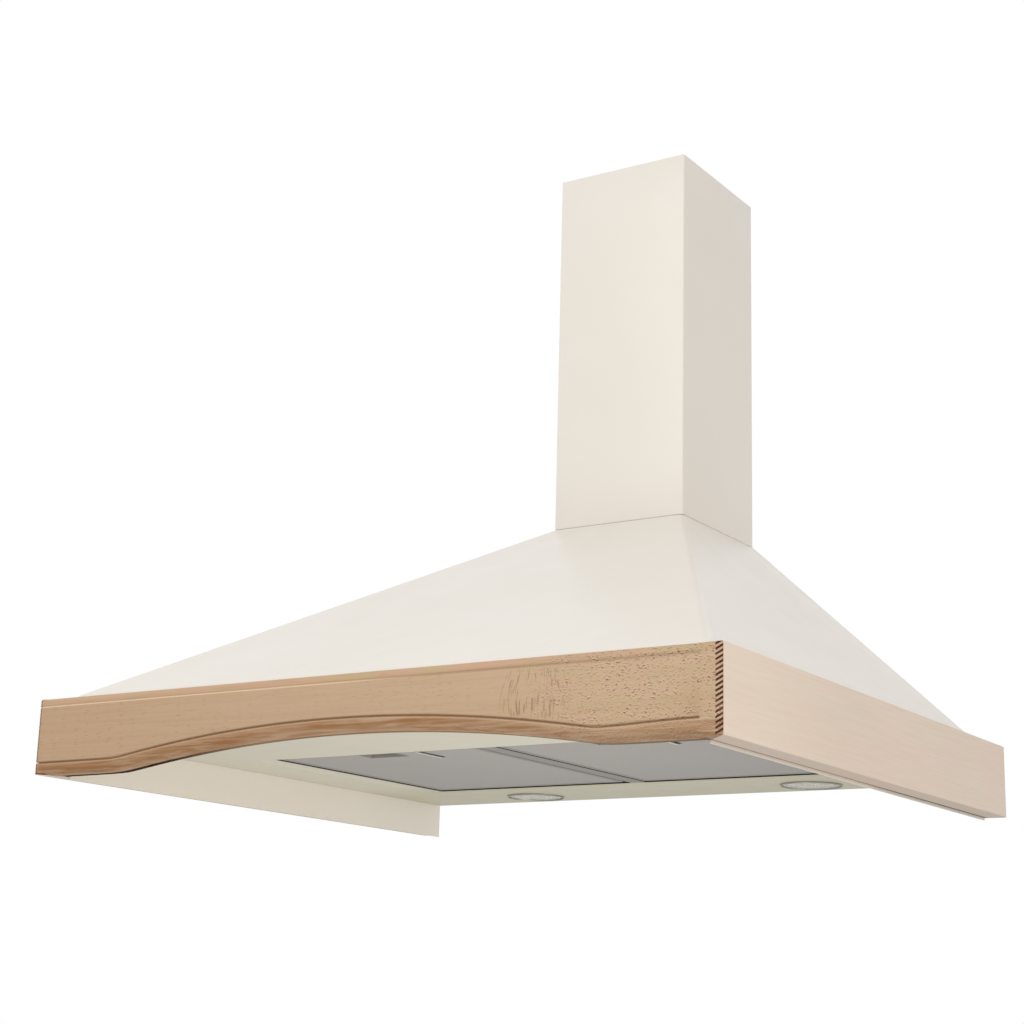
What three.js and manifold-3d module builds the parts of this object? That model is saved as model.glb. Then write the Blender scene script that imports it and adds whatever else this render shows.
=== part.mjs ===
// A wall-mounted chimney range hood: a pyramid canopy of painted steel with a beech trim frame.
// Millimetres, +Z up. The wall is the plane y = WALL_Y, the hood faces -Y and z = 0 is its lower rim.
import * as THREE from 'three';
import { mergeVertices } from 'three/addons/utils/BufferGeometryUtils.js';
import Module from 'manifold-3d';

const wasm = await Module();
wasm.setup();

// ---------------------------------------------------------------- driving dimensions

const WIDTH = 600; // over the side boards
const DEPTH = 530; // from the front board's face to the wall
const SHEET = 1; // painted steel sheet
const PLATE = 1.2; // back plate
const GAP = 0.3; // between pieces that touch

const TRIM_BOTTOM = 2; // boards above the lower edge of the skirts
const TRIM_TOP = 62;
const TRIM_THICKNESS = 18;
const ARCH_WIDTH = 419;
const ARCH_RISE = 18.5;
const MOULDING_INSET = 9.4; // from the arched edge of the front board to its groove
const TOP_MOULDING_INSET = 6.6; // from the upper edge of the front board to its groove
const GROOVE_RADIUS = 1.1;
const TOP_ROUND = 4;
const BOTTOM_ROUND = 7;
const SIDE_ROUND = 2;
const FINGER_COUNT = 18; // fingers in each mitred front corner
const FINGER_REACH = 5.5; // how far a finger passes the mitre line
const MITRE_GAP = 0.22; // each board's clearance from the mitre plane, measured along a face

const CANOPY_TOP = 261;
const FRONT_SKIRT_BOTTOM = 24;
const CHIMNEY_WIDTH = 132;
const CHIMNEY_DEPTH = 142;
const LOWER_COVER_LENGTH = 343.7;
const UPPER_COVER_LENGTH = 331;
const COVER_RETURN = 10; // folded return along a cover's rear edges
const COVER_SLIDE_GAP = 0.5;
const LOCATING_LIP_HEIGHT = 7;
const BRACKET_HEIGHT = 25;
const BRACKET_SHEET = 1.5;
const BRACKET_LEG = 26;

const KEYHOLE_SPACING = 180;
const KEYHOLE_HEIGHT = 160;
const KEYHOLE_HEAD_RADIUS = 5.5;
const KEYHOLE_SLOT_RADIUS = 3;
const KEYHOLE_SLOT_LENGTH = 12;

const PAN_BOTTOM = 31; // underside of the pan above the lower rim
const PAN_FLANGE = 12;
const SEAT_STEP = 1.2; // how far the filter seat is pressed up
const SEAT_SIDE = 16;
const SEAT_END = 6;

const FILTER_WIDTH = 197.5;
const FILTER_LENGTH = 240;
const FILTER_HEIGHT = 9;
const FILTER_RAIL = 5;
const FILTER_LIP = 2;
const FILTER_LIP_THICKNESS = 1;
const FILTER_TO_WALL = 106;
const FILTER_CLEARANCE = 3; // round the sides and the rear
const FILTER_FRONT_CLEARANCE = 1.2;
const FILTER_LIFT = 0.2; // filter face above the seat's underside
const HINGE_SETBACK = 2; // swing axis behind the filter's rear edge
const HINGE_RISE = 0.2; // swing axis above the seat
const TONGUE_WIDTH = 24;
const TONGUE_LENGTH = 8;
const TONGUE_THICKNESS = 1.4;
const TONGUE_SPACING = 120;
const POCKET_WIDTH = 36;
const POCKET_LENGTH = 18.5;
const POCKET_WALL = 1.2;
const POCKET_OVERLAP = 0.5; // of the latch pocket with the front rail
const NOSE_WIDTH = 16;
const NOSE_THICKNESS = 3;
const NOSE_CLEARANCE = 0.5; // from the nose to the seat's edge
const LATCH_LENGTH = 12.2;
const LATCH_HEIGHT = 3.9;
const LATCH_DISH = 2; // depth of the finger grip
const GUIDE_SLOT_OFFSET = 43;
const GUIDE_SLOT_WIDTH = 3;
const GUIDE_SLOT_LENGTH = 41;
const GUIDE_SLOT_DEPTH = 1.6;
const CROSSBAR_WIDTH = 17;
const CROSSBAR_CLEARANCE = 1.5;
const CROSSBAR_LAP = 8;

const LAMP_SPACING = 283;
const LAMP_TO_WALL = 43;
const LAMP_RADIUS = 27; // outer edge of the ring
const LAMP_BARREL_RADIUS = 24.5;
const LAMP_GLASS_THICKNESS = 2;
const BULB_RADIUS = 4.5;
const LAMP_HOLDER_RADIUS = 9;

const CONTROL_X = 140;
const CONTROL_TO_FRONT = 50;
const BUTTON_COUNT = 5;
const BUTTON_PITCH = 24;
const BUTTON_SIZE = 14;
const BUTTON_TRAVEL = 3;
const BUTTON_CLEARANCE = 0.4;
const BEZEL_MARGIN = 9;
const BEZEL_THICKNESS = 1.5;
const SWITCH_BLOCK_HEIGHT = 30;

const IMPELLER_RADIUS = 52;
const IMPELLER_HALF_WIDTH = 42;
const BLADE_COUNT = 24;
const BLADE_DEPTH = 10;
const BLADE_THICKNESS = 1.2;
const SCROLL_START_GAP = 5; // between the impeller and the tongue
const SCROLL_GROWTH = 55; // radius gained from the tongue to the outlet
const HOUSING_WALL = 2;
const HOUSING_CLEARANCE = 2; // between the impeller's ends and the housing
const BLOWER_LIFT = 11; // housing above the filters
const INLET_RADIUS = 46;
const INLET_LIP = 6;
const INLET_FACETS = 36;
const SHAFT_RADIUS = 4;
const MOTOR_RADIUS = 28;
const MOTOR_LENGTH = 40;
const SPIDER_ARMS = 3;

const COLLAR_CLEARANCE = 3.5; // between the duct collar and the upper cover
const COLLAR_WALL = 2;
const COLLAR_HEIGHT = 58;
const COLLAR_FLANGE = 2;
const FLAP_AXIS_HEIGHT = 8; // above the collar's flange
const FLAP_THICKNESS = 1.2;
const PIN_RADIUS = 1.5;
const KNUCKLE_WALL = 1.4;

const SCREW_RADIUS = 1.75;
const SCREW_HEAD_RADIUS = 4;
const SCREW_HEAD_HEIGHT = 2;
const SCREW_LENGTH = 17;
const TRIM_SCREW_HEIGHT = 50;
const TRIM_SCREW_SPACING = 300;
const FRONT_SCREW_SPACING = 360;
const FLANGE_SCREW_INSET = 9;

const CAPACITOR_RADIUS = 17;
const CAPACITOR_HEIGHT = 56;
const CAPACITOR_TO_SIDE = 65.4; // from the pan's edge
const CAPACITOR_TO_WALL = 30;
const TRANSFORMER_WIDTH = 96;
const TRANSFORMER_DEPTH = 40;
const TRANSFORMER_HEIGHT = 28;
const TRANSFORMER_TO_WALL = 31;
const TERMINAL_BOX_TO_SIDE = 130.4; // from the pan's edge
const TERMINAL_BOX_WIDTH = 80;
const TERMINAL_BOX_DEPTH = 35;
const TERMINAL_BOX_HEIGHT = 58;
const TERMINAL_BOX_BOTTOM = 72;
const GLAND_RADIUS = 9;
const GLAND_BORE = 4;
const GLAND_HEIGHT = 16;

// ---------------------------------------------------------------- places that follow from them

const WALL_Y = DEPTH / 2;
const FRONT_Y = -DEPTH / 2;
const PAST = 5; // how far a cutter passes a face
const skirtHalf = WIDTH / 2 - TRIM_THICKNESS - GAP;
const skirtFront = FRONT_Y + TRIM_THICKNESS + GAP;
const skirtBack = WALL_Y - PLATE - GAP;
const chimneyHalf = CHIMNEY_WIDTH / 2;
const chimneyFront = WALL_Y - CHIMNEY_DEPTH;

const upperCoverHalf = chimneyHalf - SHEET - COVER_SLIDE_GAP;
const upperCoverFront = chimneyFront + SHEET + COVER_SLIDE_GAP;
const upperCoverBack = WALL_Y - SHEET - GAP;
const upperCoverBottom = CANOPY_TOP + LOCATING_LIP_HEIGHT + 4;
const ductY = (upperCoverFront + upperCoverBack) / 2;
const ductRoom = Math.min(upperCoverHalf, (upperCoverBack - upperCoverFront) / 2) - SHEET;
const collarRadius = ductRoom - COLLAR_CLEARANCE;
const ductRadius = collarRadius - COLLAR_WALL;
const collarFlangeHalf = ductRoom - 2 * GAP;
const collarBottom = CANOPY_TOP + GAP;
const flapAxisZ = collarBottom + COLLAR_FLANGE + FLAP_AXIS_HEIGHT;
const flangeScrew = collarFlangeHalf - FLANGE_SCREW_INSET;

const panTop = PAN_BOTTOM + SHEET;
const panHalf = skirtHalf - SHEET - GAP;
const panFront = skirtFront + SHEET + GAP;
const filterX = CROSSBAR_WIDTH / 2 + CROSSBAR_CLEARANCE + FILTER_WIDTH / 2;
const filterOuter = filterX + FILTER_WIDTH / 2;
const filterBack = WALL_Y - FILTER_TO_WALL;
const filterFront = filterBack - FILTER_LENGTH;
const filterBottom = PAN_BOTTOM + SEAT_STEP + FILTER_LIFT;
const filterTop = filterBottom + FILTER_HEIGHT;
const seatTop = PAN_BOTTOM + SEAT_STEP + SHEET;
const openingHalf = filterOuter + FILTER_CLEARANCE;
const openingFront = filterFront - FILTER_FRONT_CLEARANCE;
const openingBack = filterBack + FILTER_CLEARANCE;
const hingeY = filterBack + HINGE_SETBACK;
const hingeZ = seatTop + HINGE_RISE;

const controlY = FRONT_Y + CONTROL_TO_FRONT;
const buttonFlange = BUTTON_SIZE + 3.5;
const controlSlotHalf = ((BUTTON_COUNT - 1) * BUTTON_PITCH + buttonFlange) / 2 + 1.5;
const controlSlotDepth = buttonFlange / 2 + 1.25;

const tongueAngle = Math.PI / 6;
const scrollStart = IMPELLER_RADIUS + SCROLL_START_GAP;
const scrollEnd = scrollStart + SCROLL_GROWTH;
const scrollPitch = SCROLL_GROWTH / (2 * Math.PI - tongueAngle);
const scrollBottom = scrollStart + scrollPitch * (1.5 * Math.PI - tongueAngle);
const outletTop = CANOPY_TOP - SHEET - GAP;
const outletFrontOffset = scrollStart * Math.cos(tongueAngle);
const axisY = ductY - (outletFrontOffset + scrollEnd) / 2;
const axisZ = filterTop + BLOWER_LIFT + scrollBottom;
const housingHalf = IMPELLER_HALF_WIDTH + HOUSING_CLEARANCE + HOUSING_WALL;

// ---------------------------------------------------------------- solids

const axisBasis = {
  x: [new THREE.Vector3(0, 1, 0), new THREE.Vector3(0, 0, 1), new THREE.Vector3(1, 0, 0)],
  y: [new THREE.Vector3(1, 0, 0), new THREE.Vector3(0, 0, 1), new THREE.Vector3(0, 1, 0)],
  z: [new THREE.Vector3(1, 0, 0), new THREE.Vector3(0, 1, 0), new THREE.Vector3(0, 0, 1)],
};

function signedVolume(points, index) {
  const a = new THREE.Vector3();
  const b = new THREE.Vector3();
  const c = new THREE.Vector3();
  let volume = 0;
  for (let i = 0; i < index.length; i += 3) {
    a.fromArray(points, 3 * index[i]);
    b.fromArray(points, 3 * index[i + 1]);
    c.fromArray(points, 3 * index[i + 2]);
    volume += a.dot(b.cross(c)) / 6;
  }
  return volume;
}

// A closed three.js geometry as a solid, with its faces turned outward.
function solidOf(geometry) {
  const bare = geometry.clone();
  bare.deleteAttribute('normal');
  bare.deleteAttribute('uv');
  const merged = mergeVertices(bare, 1e-4);
  const points = merged.getAttribute('position').array;
  const all = merged.getIndex().array;
  const index = [];
  for (let i = 0; i < all.length; i += 3) {
    const [p, q, r] = [all[i], all[i + 1], all[i + 2]];
    if (p !== q && q !== r && r !== p) index.push(p, q, r);
  }
  if (signedVolume(points, index) < 0) index.reverse();
  return new wasm.Manifold(new wasm.Mesh({
    numProp: 3,
    vertProperties: Float32Array.from(points),
    triVerts: Uint32Array.from(index),
  }));
}

function geometryOf(solid) {
  const mesh = solid.getMesh();
  const geometry = new THREE.BufferGeometry();
  geometry.setAttribute('position', new THREE.BufferAttribute(Float32Array.from(mesh.vertProperties), 3));
  geometry.setIndex(new THREE.BufferAttribute(Uint32Array.from(mesh.triVerts), 1));
  geometry.computeVertexNormals();
  return geometry;
}

function joined(...solids) {
  return solids.reduce((whole, solid) => whole.add(solid));
}

function cut(solid, ...cutters) {
  return cutters.reduce((whole, cutter) => whole.subtract(cutter), solid);
}

// A box between two corners, given as ranges along X, Y and Z.
function box([x0, x1], [y0, y1], [z0, z1]) {
  const geometry = new THREE.BoxGeometry(Math.abs(x1 - x0), Math.abs(y1 - y0), Math.abs(z1 - z0));
  geometry.translate((x0 + x1) / 2, (y0 + y1) / 2, (z0 + z1) / 2);
  return solidOf(geometry);
}

// An outline extruded along an axis. Its points are (y, z), (x, z) or (x, y) for axis x, y or z.
function prism(outline, axis, from, to) {
  const shape = new THREE.Shape(outline.map(([a, b]) => new THREE.Vector2(a, b)));
  const geometry = new THREE.ExtrudeGeometry(shape, { depth: to - from, bevelEnabled: false });
  geometry.translate(0, 0, from);
  geometry.applyMatrix4(new THREE.Matrix4().makeBasis(...axisBasis[axis]));
  return solidOf(geometry);
}

function cylinder(radius, axis, from, to, [a, b] = [0, 0], segments = 24) {
  const outline = arc(a, b, radius, 0, 2 * Math.PI, segments).slice(0, -1);
  return prism(outline, axis, from, to);
}

// A profile of (radius, height) points turned about an axis through the origin.
function turned(profile, axis, segments = 32) {
  const points = profile.map(([radius, height]) => new THREE.Vector2(radius, height));
  const closing = profile[0][0] === 0 && profile.at(-1)[0] === 0;
  if (!closing) points.push(points[0].clone());
  const geometry = new THREE.LatheGeometry(points, segments);
  const [u, v, along] = axisBasis[axis];
  geometry.applyMatrix4(new THREE.Matrix4().makeBasis(u, along, v));
  return solidOf(geometry);
}

function moved(geometrySolid, x, y, z) {
  const geometry = geometryOf(geometrySolid);
  geometry.translate(x, y, z);
  return solidOf(geometry);
}

function arc(a, b, radius, start, end, steps) {
  const points = [];
  for (let i = 0; i <= steps; i += 1) {
    const angle = start + ((end - start) * i) / steps;
    points.push([a + radius * Math.cos(angle), b + radius * Math.sin(angle)]);
  }
  return points;
}

function centred(half) {
  return [-half, half];
}

// ---------------------------------------------------------------- materials

function material(color, roughness, metalness) {
  return new THREE.MeshStandardMaterial({ color, roughness, metalness });
}

const creamPaint = () => material(0xeae4d8, 0.42, 0);
const panPaint = () => material(0xd6d0bf, 0.45, 0);
const beech = () => material(0xc8a67f, 0.55, 0);
const paleBeech = () => material(0xd8c4af, 0.55, 0);
const galvanised = () => material(0xb6b8b8, 0.4, 0.8);
const aluminium = () => material(0xa6a49f, 0.45, 0.9);
const steel = () => material(0x9fa2a4, 0.3, 0.95);
const greyPlastic = () => material(0x8a8b89, 0.5, 0);
const blackPlastic = () => material(0x26282a, 0.5, 0);
const whitePlastic = () => material(0xe4e2dc, 0.45, 0);
const chrome = () => material(0xd5d6d4, 0.12, 1);
const ceramic = () => material(0xe9e6df, 0.6, 0);

function glass() {
  const clear = material(0xf2f5f2, 0.05, 0);
  clear.transparent = true;
  clear.opacity = 0.35;
  return clear;
}

function part(name, solid, finish) {
  const mesh = new THREE.Mesh(geometryOf(solid), finish);
  mesh.name = name;
  return mesh;
}

function groupAt(x, y, z, ...children) {
  const group = new THREE.Group();
  group.position.set(x, y, z);
  group.add(...children);
  return group;
}

// ---------------------------------------------------------------- screws

function screwSolid() {
  return turned([
    [0, -GAP - SCREW_HEAD_HEIGHT],
    [SCREW_HEAD_RADIUS * 0.7, -GAP - SCREW_HEAD_HEIGHT],
    [SCREW_HEAD_RADIUS, -GAP - SCREW_HEAD_HEIGHT / 2],
    [SCREW_HEAD_RADIUS, -GAP],
    [SCREW_RADIUS, -GAP],
    [SCREW_RADIUS, SCREW_LENGTH - 2],
    [0, SCREW_LENGTH],
  ], 'x', 12);
}

// A screw whose head bears on the face at the given place and whose shank points along the direction.
function screw(name, place, direction) {
  const mesh = part(name, screwSolid(), steel());
  mesh.position.set(...place);
  mesh.quaternion.setFromUnitVectors(new THREE.Vector3(1, 0, 0), new THREE.Vector3(...direction));
  return mesh;
}

const screwHoleRadius = SCREW_RADIUS + GAP;
const screwHoleReach = SCREW_LENGTH + 0.5;

const trimScrews = [
  ...[-1, 1].flatMap((side) => [-1, 1].map((end) => ({
    name: `${side < 0 ? 'left' : 'right'}_trim_screw_${end < 0 ? 'front' : 'rear'}`,
    place: [side * (skirtHalf - SHEET), (end * TRIM_SCREW_SPACING) / 2, TRIM_SCREW_HEIGHT],
    direction: [side, 0, 0],
  }))),
  ...[-1, 1].map((side) => ({
    name: `front_trim_screw_${side < 0 ? 'left' : 'right'}`,
    place: [(side * FRONT_SCREW_SPACING) / 2, skirtFront + SHEET, TRIM_SCREW_HEIGHT],
    direction: [0, -1, 0],
  })),
];

// The pilot hole of a trim screw, through the skirt and into the board.
function trimScrewHole({ place: [x, y, z], direction: [dx] }) {
  if (dx === 0) return cylinder(screwHoleRadius, 'y', y - screwHoleReach, y + PAST, [x, z], 12);
  const ends = [x - dx * PAST, x + dx * screwHoleReach].sort((a, b) => a - b);
  return cylinder(screwHoleRadius, 'x', ...ends, [y, z], 12);
}

const flangeScrewPlaces = [-1, 1].flatMap((side) => [-1, 1].map((end) => [
  side * flangeScrew,
  ductY + end * flangeScrew,
]));

function flangeScrewHoles() {
  return flangeScrewPlaces.map((place) => (
    cylinder(screwHoleRadius, 'z', outletTop - PAST, collarBottom + PAST, place, 12)));
}

// ---------------------------------------------------------------- canopy and back plate

// Half width and front edge of the pyramid at a height, the given distance inside its outer skin.
function canopySection(z, inset) {
  const rise = CANOPY_TOP - TRIM_TOP;
  const sideRun = (skirtHalf - chimneyHalf) / rise;
  const frontRun = (chimneyFront - skirtFront) / rise;
  const climb = z - TRIM_TOP;
  return {
    half: skirtHalf - sideRun * climb - inset * Math.hypot(1, sideRun),
    front: skirtFront + frontRun * climb + inset * Math.hypot(1, frontRun),
  };
}

function taperedBox(inset, back, low, high) {
  const geometry = new THREE.BoxGeometry(1, 1, 1);
  const position = geometry.getAttribute('position');
  for (let i = 0; i < position.count; i += 1) {
    const z = position.getZ(i) < 0 ? low : high;
    const section = canopySection(z, inset);
    const y = position.getY(i) < 0 ? section.front : back;
    position.setXYZ(i, 2 * position.getX(i) * section.half, y, z);
  }
  return solidOf(geometry);
}

function canopyShell() {
  const skirt = box(centred(skirtHalf), [skirtFront, skirtBack], [0, TRIM_TOP]);
  const pyramid = taperedBox(0, skirtBack, TRIM_TOP, CANOPY_TOP);
  const inHalf = skirtHalf - SHEET;
  const insideBack = skirtBack + PAST;
  const skirtCore = box(centred(inHalf), [skirtFront + SHEET, insideBack], [-PAST, TRIM_TOP]);
  const pyramidCore = taperedBox(SHEET, insideBack, TRIM_TOP, CANOPY_TOP - SHEET);
  const frontRelief = box(
    centred(inHalf),
    [skirtFront - PAST, skirtFront + PAST],
    [-PAST, FRONT_SKIRT_BOTTOM],
  );
  const ductHole = cylinder(ductRadius, 'z', CANOPY_TOP - PAST, CANOPY_TOP + PAST, [0, ductY], 48);
  const shell = cut(joined(skirt, pyramid), skirtCore, pyramidCore, frontRelief, ductHole);
  const whole = joined(shell, locatingLip());
  return cut(whole, ...trimScrews.map(trimScrewHole), ...flangeScrewHoles());
}

// The upstanding lip on the canopy's top that the lower cover fits over.
function locatingLip() {
  const half = chimneyHalf - SHEET - GAP;
  const front = chimneyFront + SHEET + GAP;
  const height = [CANOPY_TOP - SHEET / 2, CANOPY_TOP + LOCATING_LIP_HEIGHT];
  const outer = box(centred(half), [front, skirtBack], height);
  const room = [front + SHEET, skirtBack + PAST];
  return cut(outer, box(centred(half - SHEET), room, [CANOPY_TOP - PAST, 2 * CANOPY_TOP]));
}

function backPlate() {
  const low = seatTop;
  const right = [
    [skirtHalf - GAP, low],
    [skirtHalf - GAP, TRIM_TOP],
    [chimneyHalf - GAP, CANOPY_TOP],
  ];
  const left = right.map(([x, z]) => [-x, z]).reverse();
  const plate = prism([...right, ...left], 'y', WALL_Y - PLATE, WALL_Y);
  return cut(plate, ...[-1, 1].flatMap(keyhole));
}

function keyhole(side) {
  const x = (side * KEYHOLE_SPACING) / 2;
  const depth = [WALL_Y - PAST, WALL_Y + PAST];
  const slotTop = KEYHOLE_HEIGHT + KEYHOLE_SLOT_LENGTH;
  return [
    cylinder(KEYHOLE_HEAD_RADIUS, 'y', ...depth, [x, KEYHOLE_HEIGHT]),
    box([x - KEYHOLE_SLOT_RADIUS, x + KEYHOLE_SLOT_RADIUS], depth, [KEYHOLE_HEIGHT, slotTop]),
    cylinder(KEYHOLE_SLOT_RADIUS, 'y', ...depth, [x, slotTop], 12),
  ];
}

// ---------------------------------------------------------------- beech trim

// How far the front board's lower edge stands above its ends at x, along a circular arch.
function archRise(x) {
  const half = ARCH_WIDTH / 2;
  if (Math.abs(x) >= half) return 0;
  const radius = (half * half + ARCH_RISE * ARCH_RISE) / (2 * ARCH_RISE);
  return Math.sqrt(radius * radius - x * x) - (radius - ARCH_RISE);
}

// The front board's section as [y, z, follows the arch].
function frontBoardProfile() {
  const face = FRONT_Y;
  const rear = FRONT_Y + TRIM_THICKNESS;
  const quarter = Math.PI / 2;
  const topEdge = arc(face + TOP_ROUND, TRIM_TOP - TOP_ROUND, TOP_ROUND, quarter, 2 * quarter, 4);
  const topGroove = arc(face, TRIM_TOP - TOP_MOULDING_INSET, GROOVE_RADIUS, quarter, -quarter, 4);
  const low = TRIM_BOTTOM;
  const lowGroove = arc(face, low + MOULDING_INSET, GROOVE_RADIUS, quarter, -quarter, 4);
  const lowEdge = arc(face + BOTTOM_ROUND, low + BOTTOM_ROUND, BOTTOM_ROUND, 2 * quarter, 3 * quarter, 6);
  const upper = [[rear, TRIM_TOP], ...topEdge, ...topGroove];
  const lower = [...lowGroove, ...lowEdge, [rear, low]];
  return [...upper.map(([y, z]) => [y, z, 0]), ...lower.map(([y, z]) => [y, z, 1])];
}

// Stations along the board: its two ends and even steps through the arch.
function archStations() {
  const half = ARCH_WIDTH / 2;
  const steps = 24;
  const inner = Array.from({ length: steps + 1 }, (_, i) => -half + (2 * half * i) / steps);
  return [-WIDTH / 2, ...inner, WIDTH / 2];
}

function frontBoardBlank() {
  const profile = frontBoardProfile();
  const stations = archStations();
  const count = profile.length;
  const positions = [];
  for (const x of stations) {
    for (const [y, z, follows] of profile) positions.push(x, y, z + follows * archRise(x));
  }
  const index = [];
  for (let s = 0; s < stations.length - 1; s += 1) {
    for (let p = 0; p < count; p += 1) {
      const next = (p + 1) % count;
      const [a, b] = [s * count + p, s * count + next];
      index.push(a, b, b + count, a, b + count, a + count);
    }
  }
  const section = profile.map(([y, z]) => new THREE.Vector2(y, z));
  const clockwise = THREE.ShapeUtils.isClockWise(section);
  const last = (stations.length - 1) * count;
  for (const [a, b, c] of THREE.ShapeUtils.triangulateShape(section, [])) {
    const alongProfile = THREE.ShapeUtils.isClockWise([section[a], section[b], section[c]]) === clockwise;
    const [p, q, r] = alongProfile ? [a, b, c] : [a, c, b];
    index.push(p, r, q, last + p, last + q, last + r);
  }
  const geometry = new THREE.BufferGeometry();
  geometry.setAttribute('position', new THREE.Float32BufferAttribute(positions, 3));
  geometry.setIndex(index);
  return solidOf(geometry);
}

// A prism at a front corner. Its points are measured in from the side face and back from the front face.
function cornerPrism(side, points, low, high) {
  const outline = points.map(([inward, back]) => [side * (WIDTH / 2 - inward), FRONT_Y + back]);
  return prism(outline, 'z', low, high);
}

const fingerPitch = (TRIM_TOP - TRIM_BOTTOM) / FINGER_COUNT;
const fingerGap = GAP / 2;

// Where the joint runs between fingers and within them, as shifts of the mitre plane towards the rear.
// The front board's fingers pass through the left board, and the right board's pass through the front board.
function mitreShifts(side) {
  return side < 0 ? [0, FINGER_REACH] : [-FINGER_REACH, 0];
}

// All that lies behind the shifted mitre plane, between two heights.
function behindMitre(side, shift, low, high) {
  const edge = TRIM_THICKNESS + GAP;
  const rear = 2 * TRIM_THICKNESS;
  return cornerPrism(side, [
    [-PAST, shift - PAST - MITRE_GAP],
    [-PAST, rear],
    [edge, rear],
    [edge, edge + shift - MITRE_GAP],
  ], low, high);
}

// All that lies before the shifted mitre plane, between two heights.
function beforeMitre(side, shift, low, high) {
  const edge = TRIM_THICKNESS + GAP;
  const far = 2 * TRIM_THICKNESS;
  return cornerPrism(side, [
    [-PAST - shift - MITRE_GAP, -PAST],
    [far, -PAST],
    [far, edge],
    [edge - shift - MITRE_GAP, edge],
  ], low, high);
}

// What the front board leaves to the side board at a corner.
function frontBoardCornerCuts(side) {
  const [low, high] = mitreShifts(side);
  const slots = Array.from({ length: FINGER_COUNT }, (_, i) => behindMitre(
    side,
    low,
    TRIM_BOTTOM + (i + 0.5) * fingerPitch - fingerGap,
    TRIM_BOTTOM + (i + 1) * fingerPitch + fingerGap,
  ));
  return [behindMitre(side, high, -PAST, TRIM_TOP + PAST), ...slots];
}

// What the side board leaves to the front board at the same corner.
function sideBoardCornerCuts(side) {
  const [low, high] = mitreShifts(side);
  const slots = Array.from({ length: FINGER_COUNT }, (_, i) => beforeMitre(
    side,
    high,
    TRIM_BOTTOM + i * fingerPitch - fingerGap,
    TRIM_BOTTOM + (i + 0.5) * fingerPitch + fingerGap,
  ));
  return [beforeMitre(side, low, -PAST, TRIM_TOP + PAST), ...slots];
}

function frontBoard() {
  const cuts = [-1, 1].flatMap(frontBoardCornerCuts);
  return cut(frontBoardBlank(), ...cuts, ...trimScrews.map(trimScrewHole));
}

function sideBoard(side) {
  const inner = side * (WIDTH / 2 - TRIM_THICKNESS);
  const outer = side * (WIDTH / 2);
  const quarter = Math.PI / 2;
  const round = (z, start) => arc(outer - side * SIDE_ROUND, z, SIDE_ROUND, start, start + quarter, 3);
  const corners = [...round(TRIM_BOTTOM + SIDE_ROUND, -quarter), ...round(TRIM_TOP - SIDE_ROUND, 0)];
  const outerEdge = corners.map(([x, z]) => [side < 0 ? 2 * (outer + SIDE_ROUND) - x : x, z]);
  const outline = [[inner, TRIM_BOTTOM], ...outerEdge, [inner, TRIM_TOP]];
  const blank = prism(outline, 'y', FRONT_Y, WALL_Y);
  return cut(blank, ...sideBoardCornerCuts(side), ...trimScrews.map(trimScrewHole));
}

// ---------------------------------------------------------------- chimney covers

// A square cover open at the rear, with a folded return along each rear edge.
function cover(half, front, back, bottom, top) {
  const outer = box(centred(half), [front, back], [bottom, top]);
  const height = [bottom - PAST, top + PAST];
  const inside = box(centred(half - SHEET), [front + SHEET, back - SHEET], height);
  const rearOpening = box(centred(half - SHEET - COVER_RETURN), [back - PAST, back + PAST], height);
  return cut(outer, inside, rearOpening);
}

function lowerCover() {
  const bottom = CANOPY_TOP + GAP;
  return cover(chimneyHalf, chimneyFront, WALL_Y, bottom, bottom + LOWER_COVER_LENGTH);
}

function upperCover() {
  const top = upperCoverBottom + UPPER_COVER_LENGTH;
  return cover(upperCoverHalf, upperCoverFront, upperCoverBack, upperCoverBottom, top);
}

// The hat-shaped strap inside the upper cover's top that is screwed to the wall.
function ceilingBracket() {
  const legOuter = upperCoverHalf - SHEET - GAP;
  const baseHalf = upperCoverHalf - SHEET - COVER_RETURN - 3.5;
  const wing = upperCoverBack - SHEET - GAP;
  const base = upperCoverBack + SHEET;
  const right = [
    [baseHalf, base],
    [baseHalf, wing],
    [legOuter, wing],
    [legOuter, wing - BRACKET_LEG],
    [legOuter - BRACKET_SHEET, wing - BRACKET_LEG],
    [legOuter - BRACKET_SHEET, wing - BRACKET_SHEET],
    [baseHalf - BRACKET_SHEET, wing - BRACKET_SHEET],
    [baseHalf - BRACKET_SHEET, base - BRACKET_SHEET],
  ];
  const left = right.map(([x, y]) => [-x, y]).reverse();
  const top = upperCoverBottom + UPPER_COVER_LENGTH - 3;
  return prism([...right, ...left], 'z', top - BRACKET_HEIGHT, top);
}

// ---------------------------------------------------------------- bottom pan, crossbar, filters

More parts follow.
